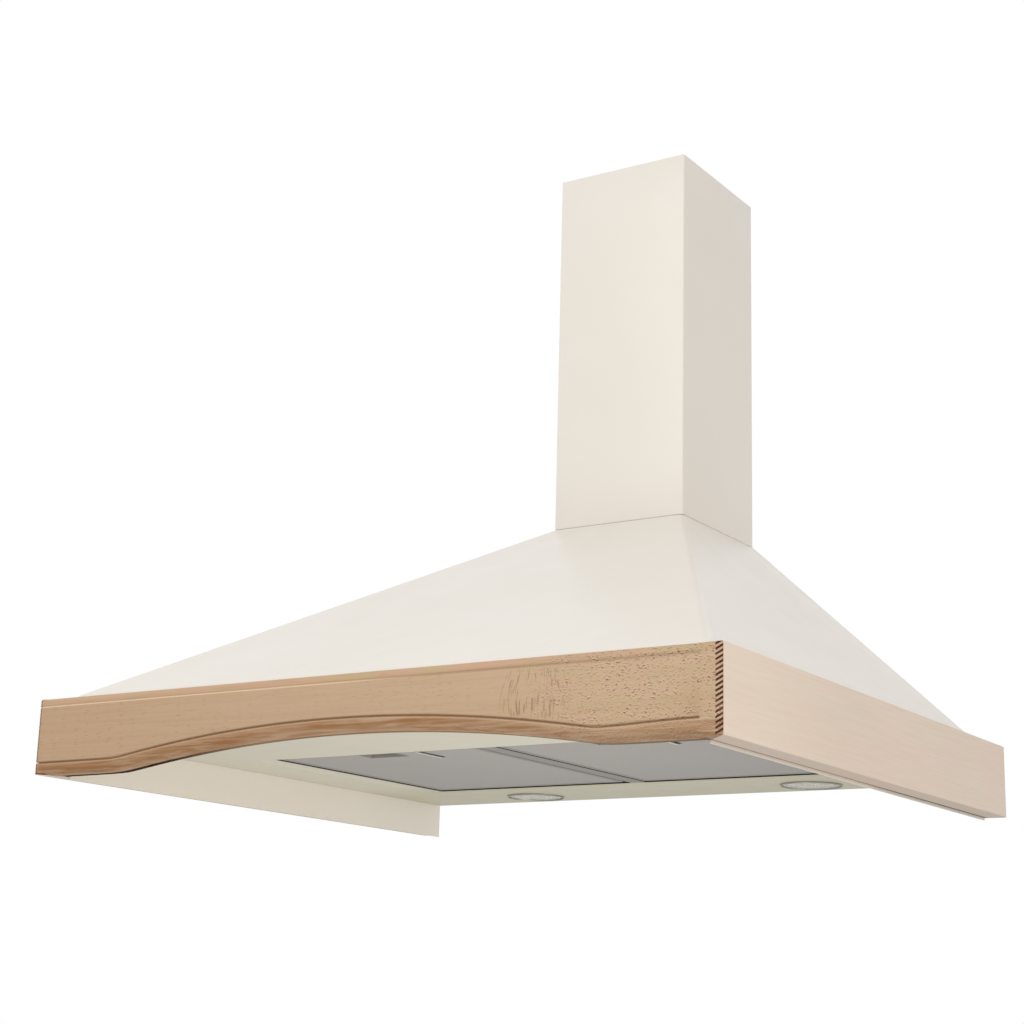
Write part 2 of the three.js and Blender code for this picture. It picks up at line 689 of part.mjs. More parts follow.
function bottomPan() {
  const tray = cut(
    box(centred(panHalf), [panFront, skirtBack], [PAN_BOTTOM, PAN_BOTTOM + PAN_FLANGE]),
    box(
      centred(panHalf - SHEET),
      [panFront + SHEET, skirtBack - SHEET],
      [panTop, PAN_BOTTOM + 2 * PAN_FLANGE],
    ),
  );
  const seatHalf = filterOuter + SEAT_SIDE;
  const seat = [filterFront - SEAT_END, filterBack + SEAT_END];
  const raised = box(centred(seatHalf + SHEET), [seat[0] - SHEET, seat[1] + SHEET], [PAN_BOTTOM, seatTop]);
  const recess = box(centred(seatHalf), seat, [PAN_BOTTOM - PAST, PAN_BOTTOM + SEAT_STEP]);
  const opening = box(centred(openingHalf), [openingFront, openingBack], [PAN_BOTTOM - PAST, seatTop + PAST]);
  const lampHoles = [-1, 1].map((side) => cylinder(
    LAMP_BARREL_RADIUS + GAP,
    'z',
    PAN_BOTTOM - PAST,
    PAN_BOTTOM + PAST,
    [(side * LAMP_SPACING) / 2, WALL_Y - LAMP_TO_WALL],
    32,
  ));
  const controlSlot = box(
    [CONTROL_X - controlSlotHalf, CONTROL_X + controlSlotHalf],
    [controlY - controlSlotDepth, controlY + controlSlotDepth],
    [PAN_BOTTOM - PAST, PAN_BOTTOM + PAST],
  );
  return cut(joined(tray, raised), recess, opening, ...lampHoles, controlSlot);
}

// The channel between the filters, open at the top, with tongues that lap the pan at both ends.
function filterCrossbar() {
  const half = CROSSBAR_WIDTH / 2;
  const length = [openingFront + GAP, openingBack - GAP];
  const channel = cut(
    box(centred(half), length, [filterBottom, filterTop]),
    box(
      centred(half - PLATE),
      [length[0] - PAST, length[1] + PAST],
      [seatTop + GAP + PLATE, filterTop + PAST],
    ),
  );
  const laps = box(
    centred(half),
    [openingFront - CROSSBAR_LAP, openingBack + CROSSBAR_LAP],
    [seatTop + GAP, seatTop + GAP + PLATE],
  );
  return joined(channel, laps);
}

// Filter pieces are drawn from the swing axis: x across, y towards the wall, z up.
const frameRear = -HINGE_SETBACK;
const frameFront = frameRear - FILTER_LENGTH;
const frameBottom = filterBottom - hingeZ;
const frameTop = frameBottom + FILTER_HEIGHT;
const meshBottom = frameBottom + FILTER_LIP_THICKNESS;
const meshTop = frameTop - FILTER_LIP_THICKNESS;
const pocketFront = frameFront + FILTER_RAIL - POCKET_OVERLAP;
const pocketTop = meshTop - POCKET_WALL;
const noseBottom = seatTop + GAP - hingeZ;

function guideSlot(depth) {
  const x = [GUIDE_SLOT_OFFSET - GUIDE_SLOT_WIDTH / 2, GUIDE_SLOT_OFFSET + GUIDE_SLOT_WIDTH / 2];
  const y = [frameFront - PAST, frameFront + GUIDE_SLOT_LENGTH];
  return box(x, y, [frameBottom - PAST, frameBottom + depth]);
}

function filterFrame() {
  const half = FILTER_WIDTH / 2;
  const lip = FILTER_RAIL + FILTER_LIP;
  const outer = box(centred(half), [frameFront, frameRear], [frameBottom, frameTop]);
  const meshSeat = box(
    centred(half - FILTER_RAIL),
    [frameFront + FILTER_RAIL, frameRear - FILTER_RAIL],
    [meshBottom, meshTop],
  );
  const window = box(
    centred(half - lip),
    [frameFront + lip, frameRear - lip],
    [frameBottom - PAST, frameTop + PAST],
  );
  const pocketEnd = pocketFront + POCKET_LENGTH;
  const pocketBlock = box(
    centred(POCKET_WIDTH / 2 + POCKET_WALL),
    [pocketFront - POCKET_OVERLAP, pocketEnd + POCKET_WALL],
    [frameBottom, meshTop],
  );
  const pocket = box(centred(POCKET_WIDTH / 2), [pocketFront, pocketEnd], [frameBottom - PAST, pocketTop]);
  const noseSlot = box(
    centred(NOSE_WIDTH / 2 + GAP),
    [frameFront - PAST, pocketFront + 1],
    [noseBottom - GAP, noseBottom + NOSE_THICKNESS + GAP],
  );
  const tongues = [-1, 1].map((side) => {
    const x = (side * TONGUE_SPACING) / 2;
    const bottom = seatTop + GAP - hingeZ;
    return box(
      [x - TONGUE_WIDTH / 2, x + TONGUE_WIDTH / 2],
      [frameRear - 1, frameRear + HINGE_SETBACK + TONGUE_LENGTH],
      [bottom, bottom + TONGUE_THICKNESS],
    );
  });
  const rails = cut(outer, meshSeat, window);
  return cut(joined(rails, pocketBlock, ...tongues), pocket, noseSlot, guideSlot(GUIDE_SLOT_DEPTH));
}

function filterMesh() {
  const half = FILTER_WIDTH / 2 - FILTER_RAIL - GAP;
  const pack = box(
    centred(half),
    [frameFront + FILTER_RAIL + GAP, frameRear - FILTER_RAIL - GAP],
    [meshBottom + GAP, meshTop - GAP],
  );
  const pocketRoom = box(
    centred(POCKET_WIDTH / 2 + POCKET_WALL + GAP),
    [frameFront - PAST, pocketFront + POCKET_LENGTH + POCKET_WALL + GAP],
    [frameBottom - PAST, frameTop + PAST],
  );
  return cut(pack, pocketRoom, guideSlot(2 * GUIDE_SLOT_DEPTH));
}

function filterLatch() {
  const front = pocketFront + GAP;
  const top = pocketTop - GAP;
  const bottom = top - LATCH_HEIGHT;
  const half = POCKET_WIDTH / 2 - GAP;
  const body = box(centred(half), [front, front + LATCH_LENGTH], [bottom, top]);
  const nose = box(
    centred(NOSE_WIDTH / 2),
    [frameFront - FILTER_FRONT_CLEARANCE + NOSE_CLEARANCE, front + 1],
    [noseBottom, noseBottom + NOSE_THICKNESS],
  );
  const fingerDish = box(
    centred(half - 3),
    [front + 2, front + LATCH_LENGTH - 2.5],
    [bottom - PAST, bottom + LATCH_DISH],
  );
  return joined(cut(body, fingerDish), nose);
}

function filterAssembly(side, label) {
  return groupAt(
    side * filterX,
    hingeY,
    hingeZ,
    part(`${label}_filter_frame`, filterFrame(), aluminium()),
    part(`${label}_filter_mesh`, filterMesh(), aluminium()),
    part(`${label}_filter_latch`, filterLatch(), greyPlastic()),
  );
}

// ---------------------------------------------------------------- lamps

// Lamp pieces are drawn from the pan's underside on the lamp's axis.
const glassBottom = 0.5;
const glassTop = glassBottom + LAMP_GLASS_THICKNESS;
const lampBore = LAMP_BARREL_RADIUS - SHEET;
const lampMouth = lampBore - 1.5;
const reflectorBottom = glassTop + GAP;
const reflectorHeight = 18;
const reflectorNeck = BULB_RADIUS + 1.7;
const socketBottom = reflectorBottom + reflectorHeight + GAP;

function lampRing() {
  const edge = 0.6;
  return turned([
    [lampMouth, -GAP - 0.7],
    [lampMouth + edge, -GAP - 1.3],
    [LAMP_RADIUS - edge, -GAP - 1.3],
    [LAMP_RADIUS, -GAP - 0.7],
    [LAMP_RADIUS, -GAP],
    [LAMP_BARREL_RADIUS, -GAP],
    [LAMP_BARREL_RADIUS, PAN_FLANGE],
    [lampBore, PAN_FLANGE],
    [lampBore, glassBottom - GAP],
    [lampMouth, glassBottom - GAP],
  ], 'z');
}

function lampGlass() {
  const rim = lampBore - GAP;
  return turned([
    [0, glassBottom - 1],
    [lampMouth * 0.6, glassBottom - 0.6],
    [lampMouth - 0.6, glassBottom],
    [rim, glassBottom],
    [rim, glassTop],
    [0, glassTop],
  ], 'z');
}

// The reflector is a dish of even wall whose radius shrinks with the square of its height.
function lampReflector() {
  const mouth = lampBore - GAP;
  const steps = 5;
  const wall = (thickness) => Array.from({ length: steps + 1 }, (_, i) => {
    const share = i / steps;
    const radius = mouth - thickness - (mouth - reflectorNeck) * share * share;
    return [Math.max(radius, reflectorNeck), reflectorBottom + reflectorHeight * share - thickness * share];
  });
  return turned([...wall(0.8), ...wall(0).reverse()], 'z');
}

function lampBulb() {
  const tip = reflectorBottom + 7;
  const top = socketBottom + 0.5;
  return turned([
    [0, tip],
    [BULB_RADIUS * 0.6, tip + 0.6],
    [BULB_RADIUS, tip + 3],
    [BULB_RADIUS, top],
    [0, top],
  ], 'z', 16);
}

function lampHolder() {
  const floor = socketBottom + 0.5 + GAP;
  const height = 12.5;
  return turned([
    [0, floor],
    [BULB_RADIUS + GAP, floor],
    [BULB_RADIUS + GAP, socketBottom],
    [LAMP_HOLDER_RADIUS, socketBottom],
    [LAMP_HOLDER_RADIUS, socketBottom + height],
    [0, socketBottom + height],
  ], 'z', 20);
}

function lamp(side, label) {
  return groupAt(
    (side * LAMP_SPACING) / 2,
    WALL_Y - LAMP_TO_WALL,
    PAN_BOTTOM,
    part(`${label}_lamp_ring`, lampRing(), creamPaint()),
    part(`${label}_lamp_glass`, lampGlass(), glass()),
    part(`${label}_lamp_reflector`, lampReflector(), chrome()),
    part(`${label}_lamp_bulb`, lampBulb(), glass()),
    part(`${label}_lamp_holder`, lampHolder(), ceramic()),
  );
}

// ---------------------------------------------------------------- controls

const buttonBottom = -5;
const buttonFlangeBottom = 0;
const buttonFlangeTop = 1.5;
const buttonStemTop = 8;

function buttonX(i) {
  return (i - (BUTTON_COUNT - 1) / 2) * BUTTON_PITCH;
}

function controlBezel() {
  const half = BUTTON_SIZE / 2 + BUTTON_CLEARANCE;
  const plate = box(
    centred(controlSlotHalf + BEZEL_MARGIN),
    centred(controlSlotDepth + BEZEL_MARGIN / 2),
    [-GAP - BEZEL_THICKNESS, -GAP],
  );
  const holes = Array.from({ length: BUTTON_COUNT }, (_, i) => box(
    [buttonX(i) - half, buttonX(i) + half],
    centred(half),
    [-PAST, PAST],
  ));
  return cut(plate, ...holes);
}

function switchBlock() {
  const bottom = SHEET + GAP;
  const outer = box(
    centred(controlSlotHalf + BEZEL_MARGIN),
    centred(controlSlotDepth + BEZEL_MARGIN / 2),
    [bottom, bottom + SWITCH_BLOCK_HEIGHT],
  );
  const well = box(
    centred(controlSlotHalf),
    centred(controlSlotDepth),
    [-PAST, buttonStemTop + BUTTON_TRAVEL + 2 * GAP],
  );
  return cut(outer, well);
}

function pushButton() {
  const half = BUTTON_SIZE / 2;
  const chamfer = 1;
  const cap = prism([
    [-half, buttonBottom + chamfer],
    [-half + chamfer, buttonBottom],
    [half - chamfer, buttonBottom],
    [half, buttonBottom + chamfer],
    [half, buttonStemTop],
    [-half, buttonStemTop],
  ], 'y', -half, half);
  const flange = box(
    centred(buttonFlange / 2),
    centred(buttonFlange / 2),
    [buttonFlangeBottom, buttonFlangeTop],
  );
  return joined(cap, flange);
}

function controls() {
  const names = ['light_button', 'off_button', 'low_button', 'medium_button', 'high_button'];
  const buttons = names.map((name, i) => {
    const button = part(name, pushButton(), whitePlastic());
    button.position.x = buttonX(i);
    return button;
  });
  return groupAt(
    CONTROL_X,
    controlY,
    PAN_BOTTOM,
    part('control_bezel', controlBezel(), whitePlastic()),
    part('switch_block', switchBlock(), blackPlastic()),
    ...buttons,
  );
}

// ---------------------------------------------------------------- blower

// The scroll's outline, the given distance inside its outer skin, running out through the given top.
function scrollOutline(inset, top) {
  const steps = 22;
  const spiral = Array.from({ length: steps + 1 }, (_, i) => {
    const angle = tongueAngle + ((2 * Math.PI - tongueAngle) * i) / steps;
    const radius = scrollStart + scrollPitch * (angle - tongueAngle) - inset;
    return [axisY + radius * Math.cos(angle), axisZ + radius * Math.sin(angle)];
  });
  const back = axisY + scrollEnd - inset;
  const front = axisY + outletFrontOffset + inset;
  return [...spiral, [back, top], [front, top]];
}

function sorted(a, b) {
  return a < b ? [a, b] : [b, a];
}

function blowerHousing(side) {
  const span = (from, to) => sorted(side * from, side * to);
  const joint = GAP / 2;
  const innerWall = housingHalf - HOUSING_WALL;
  const shell = prism(scrollOutline(0, outletTop), 'x', ...span(joint, housingHalf));
  const flange = box(
    span(joint, collarFlangeHalf - GAP),
    [ductY - collarFlangeHalf, ductY + collarFlangeHalf],
    [outletTop - HOUSING_WALL, outletTop],
  );
  const cavity = prism(scrollOutline(HOUSING_WALL, outletTop + PAST), 'x', ...span(-PAST, innerWall));
  const wall = span(innerWall - 1, housingHalf + PAST);
  const inlet = cylinder(INLET_RADIUS, 'x', ...wall, [axisY, axisZ], INLET_FACETS);
  const lip = inletLip(side);
  const body = cut(joined(shell, flange), cavity, inlet);
  return cut(joined(body, lip), ...flangeScrewHoles());
}

function inletLip(side) {
  const inner = housingHalf - 1;
  const outer = housingHalf + INLET_LIP;
  const profile = [
    [INLET_RADIUS, inner],
    [INLET_RADIUS, outer - 1],
    [INLET_RADIUS + 1, outer],
    [INLET_RADIUS + 3, outer - 1],
    [INLET_RADIUS + 3, inner],
  ];
  return moved(turned(profile.map(([r, x]) => [r, side * x]), 'x', INLET_FACETS), 0, axisY, axisZ);
}

// Rotor and motor pieces are drawn from the centre of the impeller, with the shaft along X.
function blade(i) {
  const turn = (2 * Math.PI * i) / BLADE_COUNT;
  const inner = IMPELLER_RADIUS - BLADE_DEPTH;
  const sweep = 0.24;
  const steps = 3;
  const edge = (offset) => Array.from({ length: steps + 1 }, (_, s) => {
    const share = s / steps;
    const radius = inner + (BLADE_DEPTH - 0.5) * share;
    const angle = turn + sweep * share * share + offset / radius;
    return [radius * Math.cos(angle), radius * Math.sin(angle)];
  });
  const outline = [...edge(-BLADE_THICKNESS / 2), ...edge(BLADE_THICKNESS / 2).reverse()];
  return prism(outline, 'x', -IMPELLER_HALF_WIDTH + 1, IMPELLER_HALF_WIDTH - 1);
}

const hubHalf = 12;

function impeller() {
  const bore = SHAFT_RADIUS + GAP;
  const ring = (side) => turned([
    [IMPELLER_RADIUS - BLADE_DEPTH - 1, side * (IMPELLER_HALF_WIDTH - 2)],
    [IMPELLER_RADIUS, side * (IMPELLER_HALF_WIDTH - 2)],
    [IMPELLER_RADIUS, side * IMPELLER_HALF_WIDTH],
    [IMPELLER_RADIUS - BLADE_DEPTH - 1, side * IMPELLER_HALF_WIDTH],
  ], 'x', 48);
  const disc = turned([
    [bore, -hubHalf],
    [hubHalf, -hubHalf],
    [hubHalf + 2, -1],
    [IMPELLER_RADIUS - 0.3, -1],
    [IMPELLER_RADIUS - 0.3, 1],
    [hubHalf + 2, 1],
    [hubHalf, hubHalf],
    [bore, hubHalf],
  ], 'x', 48);
  const blades = Array.from({ length: BLADE_COUNT }, (_, i) => blade(i));
  return joined(disc, ring(-1), ring(1), ...blades);
}

const nutHeight = 6;
const motorFace = -hubHalf - 3;
const motorRear = motorFace - MOTOR_LENGTH;
const shaftDepth = 20; // of the shaft inside the motor

function rotorShaft() {
  return cylinder(SHAFT_RADIUS, 'x', motorFace - shaftDepth, hubHalf + nutHeight + 2, [0, 0], 16);
}

function shaftNut() {
  const hexagon = cylinder(8, 'x', hubHalf + GAP, hubHalf + GAP + nutHeight, [0, 0], 6);
  return cut(hexagon, cylinder(SHAFT_RADIUS + GAP, 'x', 0, 2 * hubHalf + PAST, [0, 0], 16));
}

function motor() {
  const bore = SHAFT_RADIUS + GAP;
  const shoulder = 4;
  return turned([
    [0, motorRear],
    [MOTOR_RADIUS - shoulder, motorRear],
    [MOTOR_RADIUS, motorRear + shoulder],
    [MOTOR_RADIUS, motorFace - shoulder - 2],
    [MOTOR_RADIUS - shoulder, motorFace - 2],
    [10, motorFace - 2],
    [10, motorFace],
    [bore, motorFace],
    [bore, motorFace - shaftDepth - 1],
    [0, motorFace - shaftDepth - 1],
  ], 'x', 32);
}

// The three-armed plate that holds the motor in the left inlet, with posts on the housing's side.
function motorSpider() {
  const thickness = 2;
  const plate = [motorRear - GAP - thickness, motorRear - GAP];
  const postRadius = 3.5;
  const reach = INLET_RADIUS + 3 + postRadius + 2.5;
  const pieces = [cylinder(MOTOR_RADIUS - 4, 'x', ...plate)];
  for (let i = 0; i < SPIDER_ARMS; i += 1) {
    const angle = Math.PI / 2 + (2 * Math.PI * i) / SPIDER_ARMS;
    const [y, z] = [Math.cos(angle), Math.sin(angle)];
    const [sideY, sideZ] = [-z * 4, y * 4];
    const end = [reach * y, reach * z];
    pieces.push(
      prism([
        [sideY, sideZ],
        [-sideY, -sideZ],
        [end[0] - sideY, end[1] - sideZ],
        [end[0] + sideY, end[1] + sideZ],
      ], 'x', ...plate),
      cylinder(postRadius, 'x', plate[0], -housingHalf - GAP, end, 12),
    );
  }
  return joined(...pieces);
}

function blower() {
  return groupAt(
    0,
    axisY,
    axisZ,
    part('impeller', impeller(), blackPlastic()),
    part('rotor_shaft', rotorShaft(), steel()),
    part('shaft_nut', shaftNut(), steel()),
    part('motor', motor(), galvanised()),
    part('motor_spider', motorSpider(), galvanised()),
  );
}

// ---------------------------------------------------------------- duct collar and flaps

function outletCollar() {
  const top = collarBottom + COLLAR_FLANGE;
  const ledge = 4;
  const ledgeTop = flapAxisZ - FLAP_THICKNESS / 2 - GAP;
  const tube = moved(turned([
    [ductRadius, collarBottom],
    [collarRadius, collarBottom],
    [collarRadius, top + COLLAR_HEIGHT],
    [ductRadius, top + COLLAR_HEIGHT],
    [ductRadius, ledgeTop],
    [ductRadius - ledge, ledgeTop],
    [ductRadius - ledge, ledgeTop - 1.5],
    [ductRadius, ledgeTop - 1.5],
  ], 'z', 48), 0, ductY, 0);
  const flange = box(
    centred(collarFlangeHalf),
    [ductY - collarFlangeHalf, ductY + collarFlangeHalf],
    [collarBottom, top],
  );
  const bore = cylinder(ductRadius, 'z', collarBottom - PAST, top + PAST, [0, ductY], 48);
  const pinHole = cylinder(PIN_RADIUS + GAP, 'x', -2 * ductRadius, 2 * ductRadius, [ductY, flapAxisZ], 12);
  return cut(joined(tube, cut(flange, bore)), pinHole, ...flangeScrewHoles());
}

function flapPin() {
  const half = collarRadius - 0.5;
  return cylinder(PIN_RADIUS, 'x', -half, half, [0, 0], 12);
}

// A half disc on the -Y side of the pin, with two knuckles round it.
function flap() {
  const knuckleRadius = PIN_RADIUS + GAP + KNUCKLE_WALL;
  const nearEdge = knuckleRadius + 0.4;
  const radius = ductRadius - 1.5;
  const start = Math.asin(nearEdge / radius);
  const rim = arc(0, 0, radius, Math.PI + start, 2 * Math.PI - start, 20);
  const plate = prism(rim, 'z', -FLAP_THICKNESS / 2, FLAP_THICKNESS / 2);
  const knuckleLength = radius * 0.4;
  const starts = [-radius * 0.86, radius * 0.04];
  const knuckles = starts.flatMap((x) => [
    cylinder(knuckleRadius, 'x', x, x + knuckleLength, [0, 0], 12),
    box([x, x + knuckleLength], [-nearEdge - 1, -PIN_RADIUS], centred(FLAP_THICKNESS / 2)),
  ]);
  const bore = cylinder(PIN_RADIUS + GAP, 'x', -radius, radius, [0, 0], 12);
  return cut(joined(plate, ...knuckles), bore);
}

function checkValve() {
  const rear = part('rear_flap', flap(), greyPlastic());
  rear.rotation.z = Math.PI;
  return groupAt(
    0,
    ductY,
    flapAxisZ,
    part('flap_pin', flapPin(), steel()),
    part('front_flap', flap(), greyPlastic()),
    rear,
  );
}

// ---------------------------------------------------------------- electrics

function capacitor() {
  const crimp = 3;
  const solid = turned([
    [0, 0],
    [CAPACITOR_RADIUS, 0],
    [CAPACITOR_RADIUS, CAPACITOR_HEIGHT - crimp],
    [CAPACITOR_RADIUS - 1.5, CAPACITOR_HEIGHT - crimp + 1],
    [CAPACITOR_RADIUS, CAPACITOR_HEIGHT],
    [CAPACITOR_RADIUS - 2, CAPACITOR_HEIGHT],
    [CAPACITOR_RADIUS - 2, CAPACITOR_HEIGHT - 1],
    [5, CAPACITOR_HEIGHT - 1],
    [4, CAPACITOR_HEIGHT + 6],
    [0, CAPACITOR_HEIGHT + 6],
  ], 'z', 28);
  const mesh = part('capacitor', solid, whitePlastic());
  mesh.position.set(CAPACITOR_TO_SIDE - panHalf, WALL_Y - CAPACITOR_TO_WALL, panTop + GAP);
  return mesh;
}

function lampTransformer() {
  const foot = 2;
  const half = TRANSFORMER_WIDTH / 2;
  const depth = TRANSFORMER_DEPTH / 2;
  const solid = joined(
    box(centred(half + 10), centred(depth), [0, foot]),
    box(centred(half), centred(depth), [0, foot + TRANSFORMER_HEIGHT]),
  );
  const holes = [-1, 1].map((side) => cylinder(2, 'z', -PAST, PAST, [side * (half + 5), 0], 12));
  const mesh = part('lamp_transformer', cut(solid, ...holes), whitePlastic());
  mesh.position.set(0, WALL_Y - TRANSFORMER_TO_WALL, panTop + GAP);
  return mesh;
}

function terminalBox() {
  const half = TERMINAL_BOX_WIDTH / 2;
  const wall = 2;
  const shell = box(centred(half), [-TERMINAL_BOX_DEPTH, 0], [0, TERMINAL_BOX_HEIGHT]);
  const inside = box(
    centred(half - wall),
    [-TERMINAL_BOX_DEPTH - PAST, -wall],
    [wall, TERMINAL_BOX_HEIGHT - wall],
  );
  const glandY = -TERMINAL_BOX_DEPTH / 2;
  const cableHole = cylinder(
    GLAND_BORE,
    'z',
    TERMINAL_BOX_HEIGHT - PAST,
    TERMINAL_BOX_HEIGHT + PAST,
    [0, glandY],
    16,
  );
  const gland = moved(turned([
    [GLAND_BORE, 0],
    [GLAND_RADIUS, 0],
    [GLAND_RADIUS, GLAND_HEIGHT * 0.35],
    [GLAND_RADIUS * 0.8, GLAND_HEIGHT * 0.4],
    [GLAND_RADIUS * 0.8, GLAND_HEIGHT - 2],
    [GLAND_BORE + 1.5, GLAND_HEIGHT],
    [GLAND_BORE, GLAND_HEIGHT],
  ], 'z', 16), 0, glandY, TERMINAL_BOX_HEIGHT + GAP);
  const lid = box(
    centred(half),
    [-TERMINAL_BOX_DEPTH - GAP - wall, -TERMINAL_BOX_DEPTH - GAP],
    [0, TERMINAL_BOX_HEIGHT],
  );
  return groupAt(
    panHalf - TERMINAL_BOX_TO_SIDE,
    skirtBack,
    TERMINAL_BOX_BOTTOM,
    part('terminal_box', cut(shell, inside, cableHole), blackPlastic()),
    part('terminal_box_lid', lid, blackPlastic()),
    part('cable_gland', gland, blackPlastic()),
  );
}

// ---------------------------------------------------------------- the hood

const hood = new THREE.Group();
hood.add(
  part('canopy_shell', canopyShell(), creamPaint()),
  part('back_plate', backPlate(), galvanised()),
  part('front_board', frontBoard(), beech()),
  part('left_side_board', sideBoard(-1), paleBeech()),
  part('right_side_board', sideBoard(1), paleBeech()),
  part('chimney_cover_lower', lowerCover(), creamPaint()),
  part('chimney_cover_upper', upperCover(), creamPaint()),
  part('ceiling_bracket', ceilingBracket(), galvanised()),
  part('bottom_pan', bottomPan(), panPaint()),
  part('filter_crossbar', filterCrossbar(), aluminium()),
  filterAssembly(-1, 'left'),
  filterAssembly(1, 'right'),
  lamp(-1, 'left'),
  lamp(1, 'right'),
  controls(),
  part('blower_housing_left', blowerHousing(-1), blackPlastic()),
  part('blower_housing_right', blowerHousing(1), blackPlastic()),
  blower(),
  part('outlet_collar', outletCollar(), blackPlastic()),
  checkValve(),
  capacitor(),
  lampTransformer(),
  terminalBox(),
  ...trimScrews.map(({ name, place, direction }) => screw(name, place, direction)),
  ...flangeScrewPlaces.map(([x, y], i) => (
    screw(`blower_screw_${i + 1}`, [x, y, collarBottom + COLLAR_FLANGE], [0, 0, -1]))),
);

export default hood;
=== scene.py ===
import contextlib
import math

import bmesh
import bpy
from bpy.props import FloatProperty, FloatVectorProperty, IntProperty, PointerProperty
from mathutils import Matrix, Vector


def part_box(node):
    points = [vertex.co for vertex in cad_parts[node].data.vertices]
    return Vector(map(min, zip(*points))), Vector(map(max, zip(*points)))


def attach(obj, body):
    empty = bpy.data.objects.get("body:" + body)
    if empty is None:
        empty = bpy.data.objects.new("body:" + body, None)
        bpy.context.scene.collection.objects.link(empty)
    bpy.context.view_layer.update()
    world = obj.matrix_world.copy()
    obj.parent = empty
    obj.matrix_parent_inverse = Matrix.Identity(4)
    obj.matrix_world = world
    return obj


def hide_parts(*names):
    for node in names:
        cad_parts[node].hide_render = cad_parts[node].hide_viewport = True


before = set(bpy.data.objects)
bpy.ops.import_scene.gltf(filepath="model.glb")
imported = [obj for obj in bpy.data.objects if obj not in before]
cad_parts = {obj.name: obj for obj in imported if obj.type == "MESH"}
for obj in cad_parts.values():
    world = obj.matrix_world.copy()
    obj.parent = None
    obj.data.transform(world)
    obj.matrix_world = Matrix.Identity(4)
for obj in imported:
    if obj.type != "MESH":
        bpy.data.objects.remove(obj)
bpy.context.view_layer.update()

bl_info = {
    "name": "Beech-trimmed chimney hood",
    "version": (1, 0, 0),
    "blender": (4, 5, 0),
    "location": "3D View > Sidebar > Chimney hood",
    "description": "Builds the finished look of a wall-mounted chimney hood round its construction model",
    "category": "Object",
}

MM = 0.001
SIDES = {"left": -1, "right": 1}
LEVEL = 0.9995  # a face is level when its normal has more than this along Z
ALIGNED = 0.9  # and a direction points along an axis when it has more than this along it

# Where the construction model has its boards and sheets.
BOARD_LOW, BOARD_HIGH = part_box("front_board")
SIDE_BOARD_LOW, SIDE_BOARD_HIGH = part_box("right_side_board")
CANOPY_LOW, CANOPY_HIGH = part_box("canopy_shell")
LOWER_COVER_LOW, LOWER_COVER_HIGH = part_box("chimney_cover_lower")
PAN_LOW, PAN_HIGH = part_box("bottom_pan")
BOARD_BOTTOM, BOARD_TOP = BOARD_LOW.z, BOARD_HIGH.z
BOARD_BACK = BOARD_HIGH.y
BOARD_INNER, OUTER_HALF = SIDE_BOARD_LOW.x, SIDE_BOARD_HIGH.x
FRONT, REAR = SIDE_BOARD_LOW.y, SIDE_BOARD_HIGH.y

# Stretches of the front board over which its lower groove rises, and over which both grooves run out.
GROOVE_TURN = (0.195, 0.283)
STOP_BEFORE, STOP_BEYOND = 1.5 * MM, 1 * MM


# ---------------------------------------------------------------- settings


def LengthProperty(name, description, default):
    return FloatProperty(name=name, description=description, default=default, unit="LENGTH")


def AngleProperty(name, description, default):
    return FloatProperty(name=name, description=description, default=default, subtype="ANGLE")


def ColourProperty(name, description, default):
    return FloatVectorProperty(name=name, description=description, default=default, subtype="COLOR")


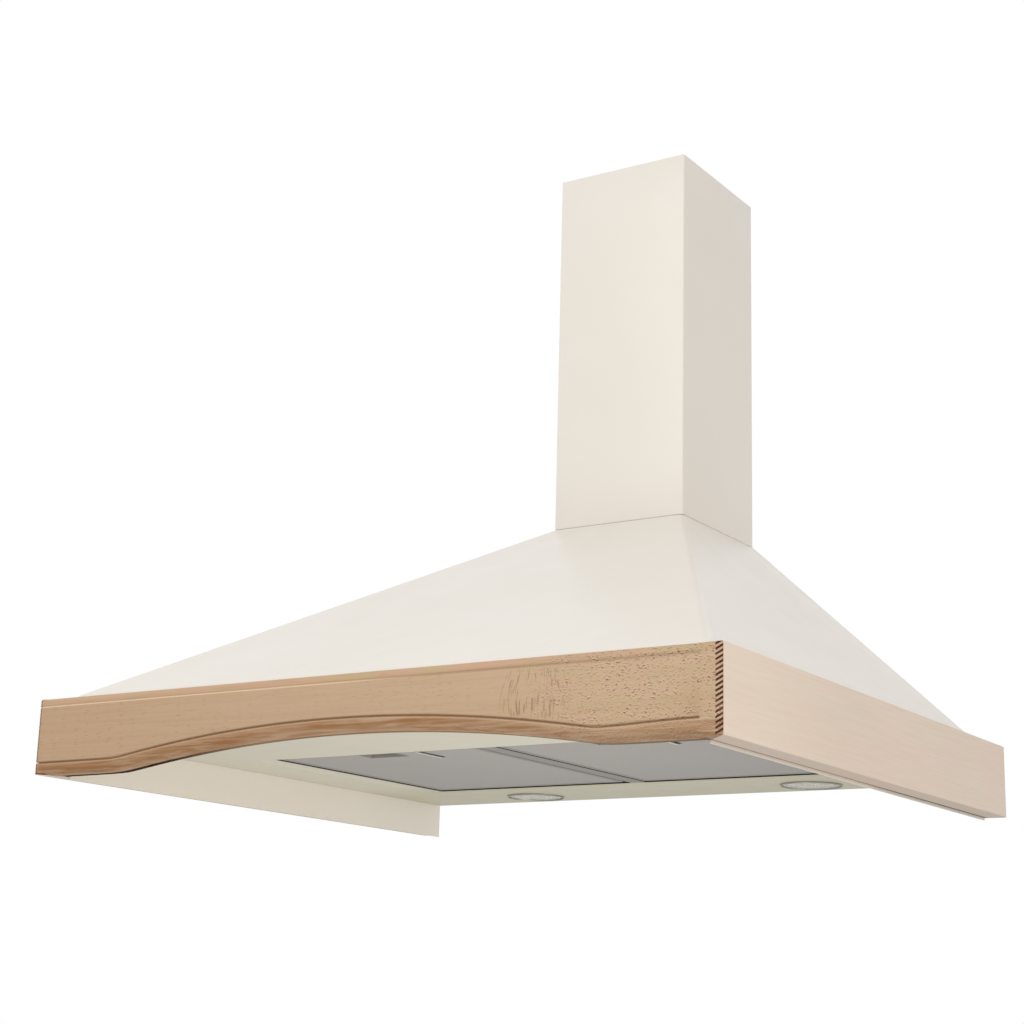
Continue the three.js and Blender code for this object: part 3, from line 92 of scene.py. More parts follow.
class HoodSizes(bpy.types.PropertyGroup):
    """Sizes of the details that the finish adds to the construction model."""

    arch_width: LengthProperty("Arch width", "Width of the arch cut into the front board's lower edge", 0.424)
    arch_shift: LengthProperty(
        "Arch shift", "How far the arch's middle lies to the right of the board's middle", -0.005
    )
    arch_rise: LengthProperty("Arch rise", "Height of the arch at its middle", 0.0185)
    arch_blend: LengthProperty("Arch blend", "How softly the arch runs into the straight edge", 0.0014)
    groove_inset: LengthProperty(
        "Groove inset", "Distance of the lower groove from the arched edge of the front board", 0.0094
    )
    groove_rise: LengthProperty(
        "Groove rise", "How much farther from the edge the lower groove ends at the right", 0.0026
    )
    top_inset: LengthProperty(
        "Top groove inset", "Distance of the upper groove from the upper edge of the front board", 0.0066
    )
    groove_half: LengthProperty("Groove half width", "Half the width of the routed grooves", 0.0013)
    groove_depth: LengthProperty("Groove depth", "Depth of the routed grooves", 0.0015)
    top_round: LengthProperty("Top rounding", "Radius along the front board's upper edge", 0.004)
    bottom_round: LengthProperty(
        "Bottom rounding height", "Height of the rounding along the front board's lower edge", 0.0075
    )
    bottom_depth: LengthProperty(
        "Bottom rounding depth",
        "How far back the rounding along the front board's lower edge reaches",
        0.0115,
    )
    end_round: LengthProperty("End rounding", "Radius that both edges keep at the finger joint", 0.0022)
    groove_stop: LengthProperty("Groove stop", "Where the grooves end short of the right corner", 0.017)
    finger_reach: LengthProperty("Finger reach", "How far a joint finger passes the mitre", 0.0044)
    finger_taper: FloatProperty(
        name="Finger taper",
        description="Height of a finger's tip as a share of its root",
        default=0.8,
        subtype="FACTOR",
    )
    finger_count: IntProperty(
        name="Fingers",
        description="Number of fingers in each front corner",
        default=18,
        min=4,
        max=40,
    )
    finger_slant: LengthProperty("Finger slant", "How far a finger rises over its reach", 0.0026)
    sheet: LengthProperty("Sheet", "Thickness of the painted steel", 0.001)
    fold_radius: LengthProperty("Fold radius", "Outer radius of the folds in the painted steel", 0.0018)
    front_lift: LengthProperty(
        "Front lift", "How far above the boards the canopy folds back at its front corners", 0.004
    )
    ridge_radius: LengthProperty("Ridge radius", "Radius of the canopy's sloping ridges", 0.004)
    seat_side: LengthProperty("Seat margin", "Width of the pressed filter seat beside the filters", 0.016)
    seat_step: LengthProperty("Seat step", "Height of the pressed filter seat", 0.0012)


class HoodColours(bpy.types.PropertyGroup):
    """Colours of the finishes."""

    cream: ColourProperty("Cream paint", "Paint of the canopy and the covers", (0.848, 0.802, 0.735))
    pan: ColourProperty("Underside paint", "Paint of the closed underside", (0.64, 0.61, 0.50))
    beech: ColourProperty("Beech", "Face of the front board", (0.548, 0.378, 0.238))
    beech_dark: ColourProperty("Dark beech", "Grain lines, flecks and grooves", (0.36, 0.205, 0.115))
    moulding: ColourProperty("Moulding beech", "Streaks of the routed lower moulding", (0.300, 0.120, 0.026))
    side_beech: ColourProperty("Pale beech", "Faces of the side boards", (0.795, 0.665, 0.555))
    end_grain: ColourProperty("End grain", "Ends of the joint fingers", (0.056, 0.020, 0.010))
    zinc: ColourProperty("Zinc", "Zinc-coated sheet", (0.55, 0.565, 0.57))
    aluminium: ColourProperty("Aluminium", "Grease filters", (0.395, 0.372, 0.352))
    screw_steel: ColourProperty("Screw steel", "Screws, shaft and pin", (0.60, 0.60, 0.59))
    dark_plastic: ColourProperty(
        "Dark plastic", "Blower housing, duct collar, cable gland and switch block", (0.030, 0.032, 0.035)
    )
    grey_plastic: ColourProperty(
        "Grey plastic", "Latches, flaps, impeller and terminal box", (0.26, 0.265, 0.26)
    )
    white_plastic: ColourProperty(
        "White plastic", "Buttons, bezel, capacitor and transformer", (0.78, 0.765, 0.715)
    )


class HoodStudio(bpy.types.PropertyGroup):
    """Camera, light and floor."""

    camera_place: FloatVectorProperty(
        name="Camera place",
        description="Where the camera stands",
        subtype="TRANSLATION",
        default=(0.8390, -1.3424, -0.1693),
    )
    camera_turn: AngleProperty(
        "Camera turn", "How far the camera looks to the left of straight ahead", math.radians(33.01)
    )
    camera_tilt: AngleProperty("Camera tilt", "How far the camera looks up", math.radians(14.53))
    camera_roll: AngleProperty("Camera roll", "Roll of the camera about its own axis", math.radians(1.58))
    lens: FloatProperty(
        name="Lens",
        description="Focal length on a 36 mm sensor, in millimetres",
        default=68.07,
    )
    room_light: FloatProperty(
        name="Room light",
        description="Level of the even light from all round",
        default=0.635,
    )
    key_light: FloatProperty(
        name="Key light",
        description="Power of the soft lamp in front, in watts",
        default=30.0,
    )
    side_light: FloatProperty(
        name="Side light",
        description="Power of the soft lamp at the right, in watts",
        default=11.5,
    )
    low_light: FloatProperty(
        name="Low light",
        description="Power of the small soft lamp below, which lights the inside of the rim, in watts",
        default=0.48,
    )
    floor_height: LengthProperty("Floor height", "Height of the floor under the hood", -1.75)


# ---------------------------------------------------------------- shaping by hand, in code


def near(a, b, slack=0.05 * MM):
    return abs(a - b) < slack


def upright(way):
    return abs(way.z) > ALIGNED


def middle_of(node):
    """The middle of a construction node's box."""
    low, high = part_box(node)
    return (low + high) / 2


def alone(piece):
    """Makes a piece the only selected one and the active one."""
    bpy.ops.object.select_all(action="DESELECT")
    piece.select_set(True)
    bpy.context.view_layer.objects.active = piece


def settle(piece):
    """Puts a piece's place, turn and size into its mesh."""
    alone(piece)
    bpy.ops.object.transform_apply(location=True, rotation=True, scale=True)
    return piece


@contextlib.contextmanager
def shaping(piece):
    """Edit mode on one piece."""
    alone(piece)
    bpy.ops.object.mode_set(mode="EDIT")
    bpy.ops.mesh.select_all(action="DESELECT")
    try:
        yield
    finally:
        bpy.ops.object.mode_set(mode="OBJECT")


def pick(kind, test):
    """Selects the vertices, edges or faces whose place and direction pass the test."""
    bpy.ops.mesh.select_mode(type=kind)
    bpy.ops.mesh.select_all(action="DESELECT")
    mesh = bpy.context.edit_object.data
    shape = bmesh.from_edit_mesh(mesh)
    shape.normal_update()
    if kind == "VERT":
        places = ((v, v.co, v.normal) for v in shape.verts)
    elif kind == "EDGE":
        ends = ((e, e.verts[0].co, e.verts[1].co) for e in shape.edges)
        places = ((e, (start + end) / 2, (end - start).normalized()) for e, start, end in ends)
    else:
        places = ((f, f.calc_center_median(), f.normal) for f in shape.faces)
    found = [element for element, place, way in places if test(place, way)]
    if not found:
        raise RuntimeError(f"nothing to select on {bpy.context.edit_object.name}")
    for element in found:
        element.select_set(True)
    shape.select_flush_mode()
    bmesh.update_edit_mesh(mesh, loop_triangles=False, destructive=False)


def pick_sharp(degrees):
    """Selects the edges that fold by more than an angle."""
    bpy.ops.mesh.select_mode(type="EDGE")
    bpy.ops.mesh.select_all(action="DESELECT")
    bpy.ops.mesh.edges_select_sharp(sharpness=math.radians(degrees))


def remove_faces(test):
    """Deletes the faces whose place and direction pass the test."""
    pick("FACE", test)
    bpy.ops.mesh.delete(type="FACE")


def block(name, low, high):
    """A box between two corners."""
    low, high = Vector(low), Vector(high)
    bpy.ops.mesh.primitive_cube_add(size=1, location=(low + high) / 2, scale=high - low)
    piece = bpy.context.object
    piece.name = piece.data.name = name
    return settle(piece)


def slice_at(axis, *places):
    """Cuts the whole piece across an axis at each place, in edit mode."""
    normal = [float(i == axis) for i in range(3)]
    for place in places:
        bpy.ops.mesh.select_all(action="SELECT")
        bpy.ops.mesh.bisect(plane_co=[place * n for n in normal], plane_no=normal)


def round_off(radius, steps=3):
    """Rounds the selected edges."""
    bpy.ops.mesh.bevel(offset=radius, segments=steps, affect="EDGES", clamp_overlap=True)


def change(piece, kind, **settings):
    """Gives a piece a modifier and applies it."""
    alone(piece)
    modifier = piece.modifiers.new(kind.title(), kind)
    for name, value in settings.items():
        setattr(modifier, name, value)
    bpy.ops.object.modifier_apply(modifier=modifier.name)
    return piece


def thicken(piece, thickness, even=True):
    """Gives a sheet its thickness inward; even=False is for tight roundings, where even walls would spike."""
    return change(piece, "SOLIDIFY", thickness=thickness, offset=-1.0, use_even_offset=even)


def push(piece, axis, distance, weights, group):
    """Moves each vertex along an axis by its share of a distance."""
    shares = piece.vertex_groups.new(name=group)
    for index, weight in weights:
        shares.add([index], weight, "REPLACE")
    return change(piece, "DISPLACE", direction=axis, strength=distance, mid_level=0.0, vertex_group=group)


def arris(piece, width, steps=2, degrees=40):
    """Takes the sharpness off every edge of a piece."""
    angle = math.radians(degrees)
    return change(piece, "BEVEL", width=width, segments=steps, limit_method="ANGLE", angle_limit=angle)


def cut_with(piece, cutter, operation="DIFFERENCE"):
    """Cuts a piece with another, which is used up."""
    change(piece, "BOOLEAN", operation=operation, object=cutter, solver="EXACT")
    bpy.data.objects.remove(cutter)
    return piece


def drill(piece, radius, place):
    """Cuts a round hole through a level sheet."""
    through = 20 * MM
    bpy.ops.mesh.primitive_cylinder_add(vertices=64, radius=radius, depth=through, location=place)
    return cut_with(piece, settle(bpy.context.object))


def smooth(piece, degrees=35):
    alone(piece)
    bpy.ops.object.shade_smooth_by_angle(angle=math.radians(degrees))
    return piece


def smooth_sheet(piece):
    """Smooths the rounded edges of a level sheet and leaves its flats flat, so nothing shades across them."""
    smooth(piece, 40)
    for face in piece.data.polygons:
        if abs(face.normal.z) > LEVEL:
            face.use_smooth = False


def join(piece, *others):
    """Joins pieces into the first."""
    alone(piece)
    for other in others:
        other.select_set(True)
    bpy.ops.object.join()
    return piece


def twin(piece, name, move=(0, 0, 0)):
    """A copy with its own mesh."""
    alone(piece)
    bpy.ops.object.duplicate(linked=False)
    copy = bpy.context.object
    copy.name = copy.data.name = name
    copy.location = Vector(copy.location) + Vector(move)
    return settle(copy)


def turned(name, outline, steps):
    """Draws a ring out loop by loop along (radius, height) points in millimetres, about the Z axis."""
    on_axis = 0.004 * MM
    points = [(max(radius * MM, on_axis), height * MM) for radius, height in outline]
    bpy.ops.mesh.primitive_circle_add(vertices=steps, radius=points[0][0], location=(0, 0, points[0][1]))
    piece = bpy.context.object
    piece.name = piece.data.name = name
    settle(piece)
    with shaping(piece):
        bpy.ops.mesh.select_all(action="SELECT")
        for (r0, z0), (r1, z1) in zip(points, points[1:]):
            bpy.ops.mesh.extrude_edges_move(TRANSFORM_OT_translate={"value": (0, 0, z1 - z0)})
            bpy.ops.transform.resize(value=(r1 / r0, r1 / r0, 1), center_override=(0, 0, 0))
    with shaping(piece):
        bpy.ops.mesh.select_all(action="SELECT")
        bpy.ops.mesh.remove_doubles(threshold=0.02 * MM)
        bpy.ops.mesh.normals_make_consistent(inside=False)
    return piece


def coat(piece, *finishes):
    """Gives a piece its finishes, one for each of its material slots."""
    piece.data.materials.clear()
    for finish in finishes:
        piece.data.materials.append(bpy.data.materials[finish])
    return piece


def recoat(piece, slot, test):
    """Turns the faces whose place and direction pass the test over to another material slot."""
    for face in piece.data.polygons:
        if test(face.center, face.normal):
            face.material_index = slot


def place_piece(piece, body, slot, *stands_for):
    """Gives a finished piece its body and hides the construction nodes that it stands for; the slot is not
    used.
    """
    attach(piece, body)
    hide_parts(*stands_for)


def dress(node, finish, soften=0.3 * MM, steps=2, degrees=32):
    """Gives a construction node its material and soft edges, and leaves its mesh as it is."""
    piece = coat(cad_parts[node], finish)
    alone(piece)
    bpy.ops.object.shade_smooth()
    weld = piece.modifiers.new("Weld", "WELD")
    weld.merge_threshold = 0.004 * MM
    flat = piece.modifiers.new("Flat faces", "DECIMATE")
    flat.decimate_type = "DISSOLVE"
    flat.angle_limit = math.radians(0.6)
    edge = piece.modifiers.new("Soft edges", "BEVEL")
    edge.width = soften
    edge.segments = steps
    edge.limit_method = "ANGLE"
    edge.angle_limit = math.radians(degrees)
    edge.harden_normals = True
    edge.use_clamp_overlap = True


# ---------------------------------------------------------------- nodes of the materials


FLOAT, VECTOR = "NodeSocketFloat", "NodeSocketVector"


def put(tree, kind, feeds=None, **settings):
    """Adds a node, sets it, and feeds its inputs with numbers or other outputs."""
    node = tree.nodes.new(kind)
    for name, value in settings.items():
        setattr(node, name, value)
    for key, value in (feeds or {}).items():
        if isinstance(value, bpy.types.NodeSocket):
            tree.links.new(value, node.inputs[key])
        else:
            node.inputs[key].default_value = value
    return node


def sums(tree, operation, *values):
    return put(tree, "ShaderNodeMath", dict(enumerate(values)), operation=operation).outputs[0]


def times(tree, first, *others):
    """Values multiplied together."""
    for other in others:
        first = sums(tree, "MULTIPLY", first, other)
    return first


def ranged(tree, value, low, high, to_low=0.0, to_high=1.0):
    """A value spread smoothly from one range to another."""
    feeds = {"Value": value, "From Min": low, "From Max": high, "To Min": to_low, "To Max": to_high}
    return put(tree, "ShaderNodeMapRange", feeds, interpolation_type="SMOOTHSTEP").outputs[0]


def blended(tree, factor, first, second):
    """Two colours mixed."""
    feeds = {0: factor, 6: first, 7: second}
    return put(tree, "ShaderNodeMix", feeds, data_type="RGBA", clamp_factor=True).outputs[2]


def stretched(tree, place, scale=(1, 1, 1), shift=(0, 0, 0), turn=(0, 0, 0)):
    feeds = {"Vector": place, "Location": shift, "Rotation": turn, "Scale": scale}
    return put(tree, "ShaderNodeMapping", feeds).outputs[0]


def joined(tree, *parts):
    return put(tree, "ShaderNodeCombineXYZ", dict(enumerate(parts))).outputs[0]


def parted(tree, place):
    """A place's X, Y and Z."""
    return put(tree, "ShaderNodeSeparateXYZ", {0: place}).outputs


def cloud(tree, place, scale, detail=2.0, rough=0.5, bend=0.0):
    """Noise between 0 and 1."""
    feeds = {"Vector": place, "Scale": scale, "Detail": detail, "Roughness": rough, "Distortion": bend}
    return put(tree, "ShaderNodeTexNoise", feeds).outputs[0]


def drawn_cloud(tree, place, scales, detail=2.0, rough=0.5, bend=0.0, shift=(0, 0, 0)):
    """Noise with its own scale along each axis."""
    return cloud(tree, stretched(tree, place, scales, shift), 1.0, detail, rough, bend)


def cells_of(tree, place, scale, **settings):
    """Voronoi cells, and three chances between 0 and 1 that each cell draws."""
    cells = put(tree, "ShaderNodeTexVoronoi", {"Vector": place, "Scale": scale}, **settings).outputs
    return cells, put(tree, "ShaderNodeSeparateColor", {0: cells["Color"]}).outputs


def bumped(tree, height, distance):
    return put(tree, "ShaderNodeBump", {"Height": height, "Distance": distance, "Strength": 1.0}).outputs[0]


def colour4(colour, gain=1.0):
    return (*[min(1.0, c * gain) for c in colour], 1.0)


def tinted(colour, red, green, blue):
    """A colour with its three parts scaled apart."""
    return colour4((colour[0] * red, colour[1] * green, colour[2] * blue))


def new_group(name, takes, gives):
    """A shader node group with named inputs and outputs."""
    tree = bpy.data.node_groups.new(name, "ShaderNodeTree")
    for label, kind, default in takes:
        socket = tree.interface.new_socket(name=label, in_out="INPUT", socket_type=kind)
        if default is not None:
            socket.default_value = default
    for label in gives:
        tree.interface.new_socket(name=label, in_out="OUTPUT", socket_type=FLOAT)
    return tree, put(tree, "NodeGroupInput").outputs, put(tree, "NodeGroupOutput").inputs


def use_group(tree, name, feeds):
    return put(tree, "ShaderNodeGroup", feeds, node_tree=bpy.data.node_groups[name]).outputs


def give(tree, sockets, **values):
    """Feeds sockets by their names."""
    for name, value in values.items():
        tree.links.new(value, sockets[name.replace("_", " ")])


def build_groups():
    """Effects that several finishes share."""
    sprayed_skin()
    drawn_metal()
    moulded_skin()
    beech_figure()


def sprayed_skin():
    """Sprayed paint: broad drift of tone, faint cloudiness of the gloss, fine orange peel."""
    tree, takes, gives = new_group(
        "Sprayed skin",
        [("Place", VECTOR, None), ("Peel size", FLOAT, 900.0), ("Gloss", FLOAT, 0.35)],
        ["Tone", "Roughness", "Height"],
    )
    broad = cloud(tree, takes["Place"], 5.0)
    patch = cloud(tree, takes["Place"], 38.0, detail=3.0)
    handled = ranged(tree, patch, 0.35, 0.75, -0.03, 0.05)
    give(
        tree,
        gives,
        Tone=ranged(tree, broad, 0.3, 0.7),
        Roughness=sums(tree, "ADD", takes["Gloss"], handled),
        Height=cloud(tree, takes["Place"], takes["Peel size"], detail=1.0),
    )


def drawn_metal():
    """Rolled or drawn metal: fine lines along X and soft stains."""
    tree, takes, gives = new_group(
        "Drawn metal",
        [("Place", VECTOR, None), ("Gloss", FLOAT, 0.35), ("Stains", FLOAT, 1.0)],
        ["Tone", "Roughness", "Height"],
    )
    lines = drawn_cloud(tree, takes["Place"], (40.0, 2400.0, 2400.0), detail=3.0, rough=0.6)
    stains = cloud(tree, takes["Place"], 42.0, detail=4.0, rough=0.55, bend=0.4)
    stain = times(tree, ranged(tree, stains, 0.4, 0.75), takes["Stains"])
    rough = sums(tree, "ADD", takes["Gloss"], ranged(tree, lines, 0.2, 0.8, -0.06, 0.08))
    give(
        tree,
        gives,
        Tone=sums(tree, "ADD", times(tree, lines, 0.5), times(tree, stain, 0.5)),
        Roughness=sums(tree, "ADD", rough, times(tree, stain, 0.10)),
        Height=lines,
    )


def moulded_skin():
    """Moulded plastic: spark-eroded grain with faint flow marks."""
    tree, takes, gives = new_group(
        "Moulded skin",
        [("Place", VECTOR, None), ("Grain size", FLOAT, 2600.0), ("Gloss", FLOAT, 0.45)],
        ["Tone", "Roughness", "Height"],
    )
    grain = cloud(tree, takes["Place"], takes["Grain size"], rough=0.6)
    flow = cloud(tree, takes["Place"], 24.0, bend=0.8)
    give(
        tree,
        gives,
        Tone=ranged(tree, flow, 0.3, 0.7),
        Roughness=sums(tree, "ADD", takes["Gloss"], ranged(tree, grain, 0.3, 0.7, -0.05, 0.06)),
        Height=grain,
    )


def beech_figure():
    """Beech with its grain along X: broad tone, thin growth lines, short rays, and pores."""
    tree, takes, gives = new_group(
        "Beech figure",
        [("Place", VECTOR, None), ("Ray length", FLOAT, 1.0), ("Ray cover", FLOAT, 0.5)],
        ["Tone", "Lines", "Rays", "Height"],
    )
    place = takes["Place"]
    broad = drawn_cloud(tree, place, (3.0, 16.0, 26.0), detail=3.0, rough=0.55, bend=0.3)
    lines = drawn_cloud(tree, place, (14.0, 420.0, 560.0), detail=3.0, rough=0.62, bend=0.25)
    pores = drawn_cloud(tree, place, (90.0, 2600.0, 3200.0))
    ray_scale = joined(tree, sums(tree, "DIVIDE", 175.0, takes["Ray length"]), 800.0, 1050.0)
    ray_place = put(tree, "ShaderNodeVectorMath", {0: place, 1: ray_scale}, operation="MULTIPLY").outputs[0]
    rays = cloud(tree, ray_place, 1.0, detail=1.5, bend=0.35)
    least = ranged(tree, takes["Ray cover"], 0.0, 1.0, 0.74, 0.50)
    rays = ranged(tree, sums(tree, "SUBTRACT", rays, least), 0.0, 0.09)
    give(
        tree,
        gives,
        Tone=ranged(tree, broad, 0.32, 0.68),
        Lines=ranged(tree, lines, 0.35, 0.70),
        Rays=rays,
        Height=sums(tree, "SUBTRACT", times(tree, pores, 0.6), times(tree, rays, 0.8)),
    )


def start_finish(name, colour, roughness=0.5, metallic=0.0, **sockets):
    """A material with its shader set to plain values, ready for its varying nodes."""
    material = bpy.data.materials.new(name)
    material.use_nodes = True
    tree = material.node_tree
    takes = tree.nodes["Principled BSDF"].inputs
    takes["Base Color"].default_value = colour4(colour)
    takes["Roughness"].default_value = roughness
    takes["Metallic"].default_value = metallic
    for label, value in sockets.items():
        takes[label.replace("_", " ")].default_value = value
    return tree, takes, put(tree, "ShaderNodeTexCoord").outputs["Object"]


def finish_off(tree, takes, base, rough, relief, depth):
    """Feeds the shader a colour, a roughness, and a relief of a depth."""
    give(tree, takes, Base_Color=base, Roughness=rough, Normal=bumped(tree, relief, depth))


PEEL_SIZE, PEEL_DEPTH = 850.0, 0.012 * MM


def painted(name, colour, gloss):
    """Sprayed satin paint on sheet."""
    tree, takes, place = start_finish(name, colour, Specular_IOR_Level=0.42)
    skin = use_group(tree, "Sprayed skin", {"Place": place, "Peel size": PEEL_SIZE, "Gloss": gloss})
    warm = tinted(colour, 0.975, 0.9711, 0.9604)
    base = blended(tree, skin["Tone"], warm, colour4(colour))
    finish_off(tree, takes, base, skin["Roughness"], skin["Height"], PEEL_DEPTH)


def underside_paint(colour):
    """The same paint on the underside, with painted shade toward the wall where the lamps are."""
    tree, takes, place = start_finish("Underside paint", colour, Specular_IOR_Level=0.35)
    skin = use_group(tree, "Sprayed skin", {"Place": place, "Peel size": PEEL_SIZE, "Gloss": 0.38})
    # Painted shade: the colour turns darker and yellower toward the wall.
    toward_wall = ranged(tree, parted(tree, place)[1], 0.10, 0.19)
    base = blended(tree, toward_wall, colour4(colour), tinted(colour, 0.87, 0.86, 0.79))
    greasy = blended(tree, 0.05, base, (0.4, 0.36, 0.25, 1.0))
    base = blended(tree, times(tree, skin["Tone"], 0.5), base, greasy)
    finish_off(tree, takes, base, skin["Roughness"], skin["Height"], PEEL_DEPTH)


def metal(name, colour, gloss, lines=0.010 * MM, dark=0.82, stains=1.0):
    """Rolled, drawn or plated metal."""
    tree, takes, place = start_finish(name, colour, metallic=1.0)
    skin = use_group(tree, "Drawn metal", {"Place": place, "Gloss": gloss, "Stains": stains})
    base = blended(tree, skin["Tone"], colour4(colour), colour4(colour, dark))
    finish_off(tree, takes, base, skin["Roughness"], skin["Height"], lines)


def moulded(name, colour, gloss, grain=0.02 * MM, light=1.12):
    """Moulded plastic."""
    tree, takes, place = start_finish(name, colour)
    skin = use_group(tree, "Moulded skin", {"Place": place, "Gloss": gloss})
    base = blended(tree, skin["Tone"], colour4(colour), colour4(colour, light))
    finish_off(tree, takes, base, skin["Roughness"], skin["Height"], grain)


def zinc_sheet(colour):
    """Zinc-coated steel with its crystal spangle."""
    tree, takes, place = start_finish("Zinc sheet", colour, metallic=1.0)
    skin = use_group(tree, "Drawn metal", {"Place": place, "Gloss": 0.36, "Stains": 1.0})
    drift = put(tree, "ShaderNodeTexNoise", {"Vector": place, "Scale": 60.0}).outputs[1]
    warp = {0: drift, 1: (0.004,) * 3, 2: place}
    warped = put(tree, "ShaderNodeVectorMath", warp, operation="MULTIPLY_ADD").outputs[0]
    facet = cells_of(tree, warped, 150.0)[1][0]
    shade = blended(tree, facet, colour4(colour, 0.86), colour4(colour, 1.10))
    rough = sums(tree, "ADD", skin["Roughness"], ranged(tree, facet, 0.0, 1.0, -0.07, 0.09))
    base = blended(tree, times(tree, skin["Tone"], 0.3), shade, colour4(colour, 0.7))
    finish_off(tree, takes, base, rough, skin["Height"], 0.006 * MM)


def arch_circle(sizes):
    """Radius of the arch cut into the front board, and how far below the rim its centre lies."""
    half, rise = sizes.arch_width / 2, sizes.arch_rise
    radius = (half * half + rise * rise) / (2 * rise)
    return radius, radius - rise


def height_over_edge(tree, across, height, sizes):
    """Height over the front board's lower edge, which follows the arch."""
    radius, below = arch_circle(sizes)
    away = sums(tree, "SUBTRACT", across, sizes.arch_shift)
    inside = sums(tree, "SUBTRACT", radius * radius, times(tree, away, away))
    arch = sums(tree, "SUBTRACT", sums(tree, "SQRT", inside), below)
    arch = sums(tree, "SMOOTH_MAX", arch, 0.0, sizes.arch_blend)
    return sums(tree, "SUBTRACT", height, sums(tree, "ADD", arch, BOARD_BOTTOM))


def band(tree, value, centre, half, soft):
    """1 within half a width of a centre, fading to 0."""
    away = sums(tree, "ABSOLUTE", sums(tree, "SUBTRACT", value, centre))
    return ranged(tree, away, half, half + soft, 1.0, 0.0)


def flecks(tree, across, height, cell, turn, share, size):
    """Scattered dashes about a cell apart, on a share of the cells: near 1 on a dash, 0 between them."""
    flat = stretched(tree, joined(tree, across, height), turn=(0, 0, math.radians(turn)))
    flat = stretched(tree, flat, (0.45 / cell, 1.0 / cell, 1.0))
    cells, chance = cells_of(tree, flat, 1.0, voronoi_dimensions="2D")
    away = sums(tree, "DIVIDE", cells["Distance"], ranged(tree, chance[1], 0.0, 1.0, 0.45, 1.25))
    kept = ranged(tree, sums(tree, "SUBTRACT", share, chance[0]), 0.0, 0.05)
    return times(tree, ranged(tree, away, size, size * 1.9, 1.0, 0.0), kept)


def bowed_lines(tree, across, height, middle, half):
    """Broken growth lines that stand across the board and bow away from its middle."""
    rise = sums(tree, "SUBTRACT", height, (BOARD_TOP + BOARD_BOTTOM) / 2)
    bow = times(tree, sums(tree, "SUBTRACT", across, middle + 4 * MM), 620.0)
    bent = times(tree, times(tree, rise, rise), bow)
    line_place = joined(tree, sums(tree, "ADD", across, bent), height)
    lines = drawn_cloud(tree, line_place, (820.0, 55.0, 1.0), detail=1.0, bend=0.1)
    gaps = drawn_cloud(tree, line_place, (120.0, 90.0, 1.0), shift=(3, 1, 0))
    there = times(tree, ranged(tree, gaps, 0.40, 0.54), band(tree, across, middle, half * 0.7, half * 0.6))
    return times(tree, ranged(tree, lines, 0.52, 0.62), there)


# Layers of flecks at the right of the front board: how much of the way along the board is drawn out,
# then the cell, its turn in degrees, the share of cells with a fleck, the fleck's size, and its strength.
FLECK_LAYERS = (
    (1.0, 3.1 * MM, 24, 0.66, 0.085, 1.0),
    (1.0, 1.9 * MM, -28, 0.70, 0.11, 0.8),
    (1.0, 1.25 * MM, 62, 0.55, 0.13, 0.6),
    (0.42, 2.0 * MM, 2, 0.48, 0.085, 0.85),
    (1.0, 1.55 * MM, 9, 0.60, 0.11, 0.75),
)


def scattered(tree, across, height):
    """All the layers of flecks together."""
    total = None
    for drawn_out, *pattern, strength in FLECK_LAYERS:
        along = across if drawn_out == 1.0 else times(tree, across, drawn_out)
        layer = times(tree, flecks(tree, along, height, *pattern), strength)
        total = layer if total is None else sums(tree, "MAXIMUM", total, layer)
    return total


class FrontFace:
    """Places and patterns that the front board's finish is laid out by."""

    def __init__(self, tree, place, sizes):
        self.across, _, self.height = parted(tree, place)
        self.figure = use_group(tree, "Beech figure", {"Place": place, "Ray length": 1.2, "Ray cover": 0.42})
        self.clumps = drawn_cloud(tree, place, (70.0, 70.0, 120.0), shift=(1.7, 0, 0))
        self.streaks = drawn_cloud(tree, place, (15.0, 210.0, 360.0), detail=3.0, rough=0.6, bend=0.6)
        self.patches = drawn_cloud(tree, place, (26.0, 60.0, 90.0), shift=(0.4, 0, 0))
        # The grooves, and the field between them.
        self.groove_half, self.top_groove = sizes.groove_half, BOARD_TOP - sizes.top_inset
        highest = sizes.groove_inset + sizes.groove_rise
        inset = ranged(tree, self.across, *GROOVE_TURN, sizes.groove_inset, highest)
        over_edge = height_over_edge(tree, self.across, self.height, sizes)
        self.over_groove = sums(tree, "SUBTRACT", over_edge, inset)
        field_top = self.top_groove - 3.0 * MM
        below_top = ranged(tree, self.height, field_top, field_top + 2.0 * MM, 1.0, 0.0)
        self.field = times(tree, ranged(tree, self.over_groove, 1.0 * MM, 3.0 * MM), below_top)
        stop = OUTER_HALF - sizes.groove_stop
        self.ends_short = ranged(tree, self.across, stop - STOP_BEFORE, stop + STOP_BEYOND, 1.0, 0.0)


def lay(tree, strength, colour, under):
    """Lays a colour over what is there."""
    return blended(tree, strength, under, colour)


def board_tone(tree, face, beech, dark):
    """Cooler at the left and warmer at the right, with growth lines, rays and short level dashes."""
    across, height, figure = face.across, face.height, face.figure
    base = blended(tree, ranged(tree, across, -0.32, 0.10), tinted(beech, 0.90, 0.875, 0.86), colour4(beech))
    base = lay(tree, ranged(tree, across, 0.08, 0.24), tinted(beech, 1.06, 1.08, 1.09), base)
    base = lay(tree, times(tree, figure["Tone"], 0.13), colour4(dark, 1.5), base)
    base = lay(tree, times(tree, figure["Lines"], 0.16), colour4(dark), base)
    rays = times(tree, figure["Rays"], ranged(tree, across, -0.10, 0.22, 0.36, 0.46))
    base = lay(tree, rays, colour4(dark), base)
    dashes = flecks(tree, times(tree, across, 0.30), height, 1.6 * MM, -1, 0.42, 0.095)
    clear = ranged(tree, across, 0.10, 0.17, 0.72, 0.25)
    shown = times(tree, clear, ranged(tree, figure["Tone"], 0.2, 0.7, 0.4, 1.0))
    return lay(tree, times(tree, dashes, shown), colour4(dark, 1.05), base)


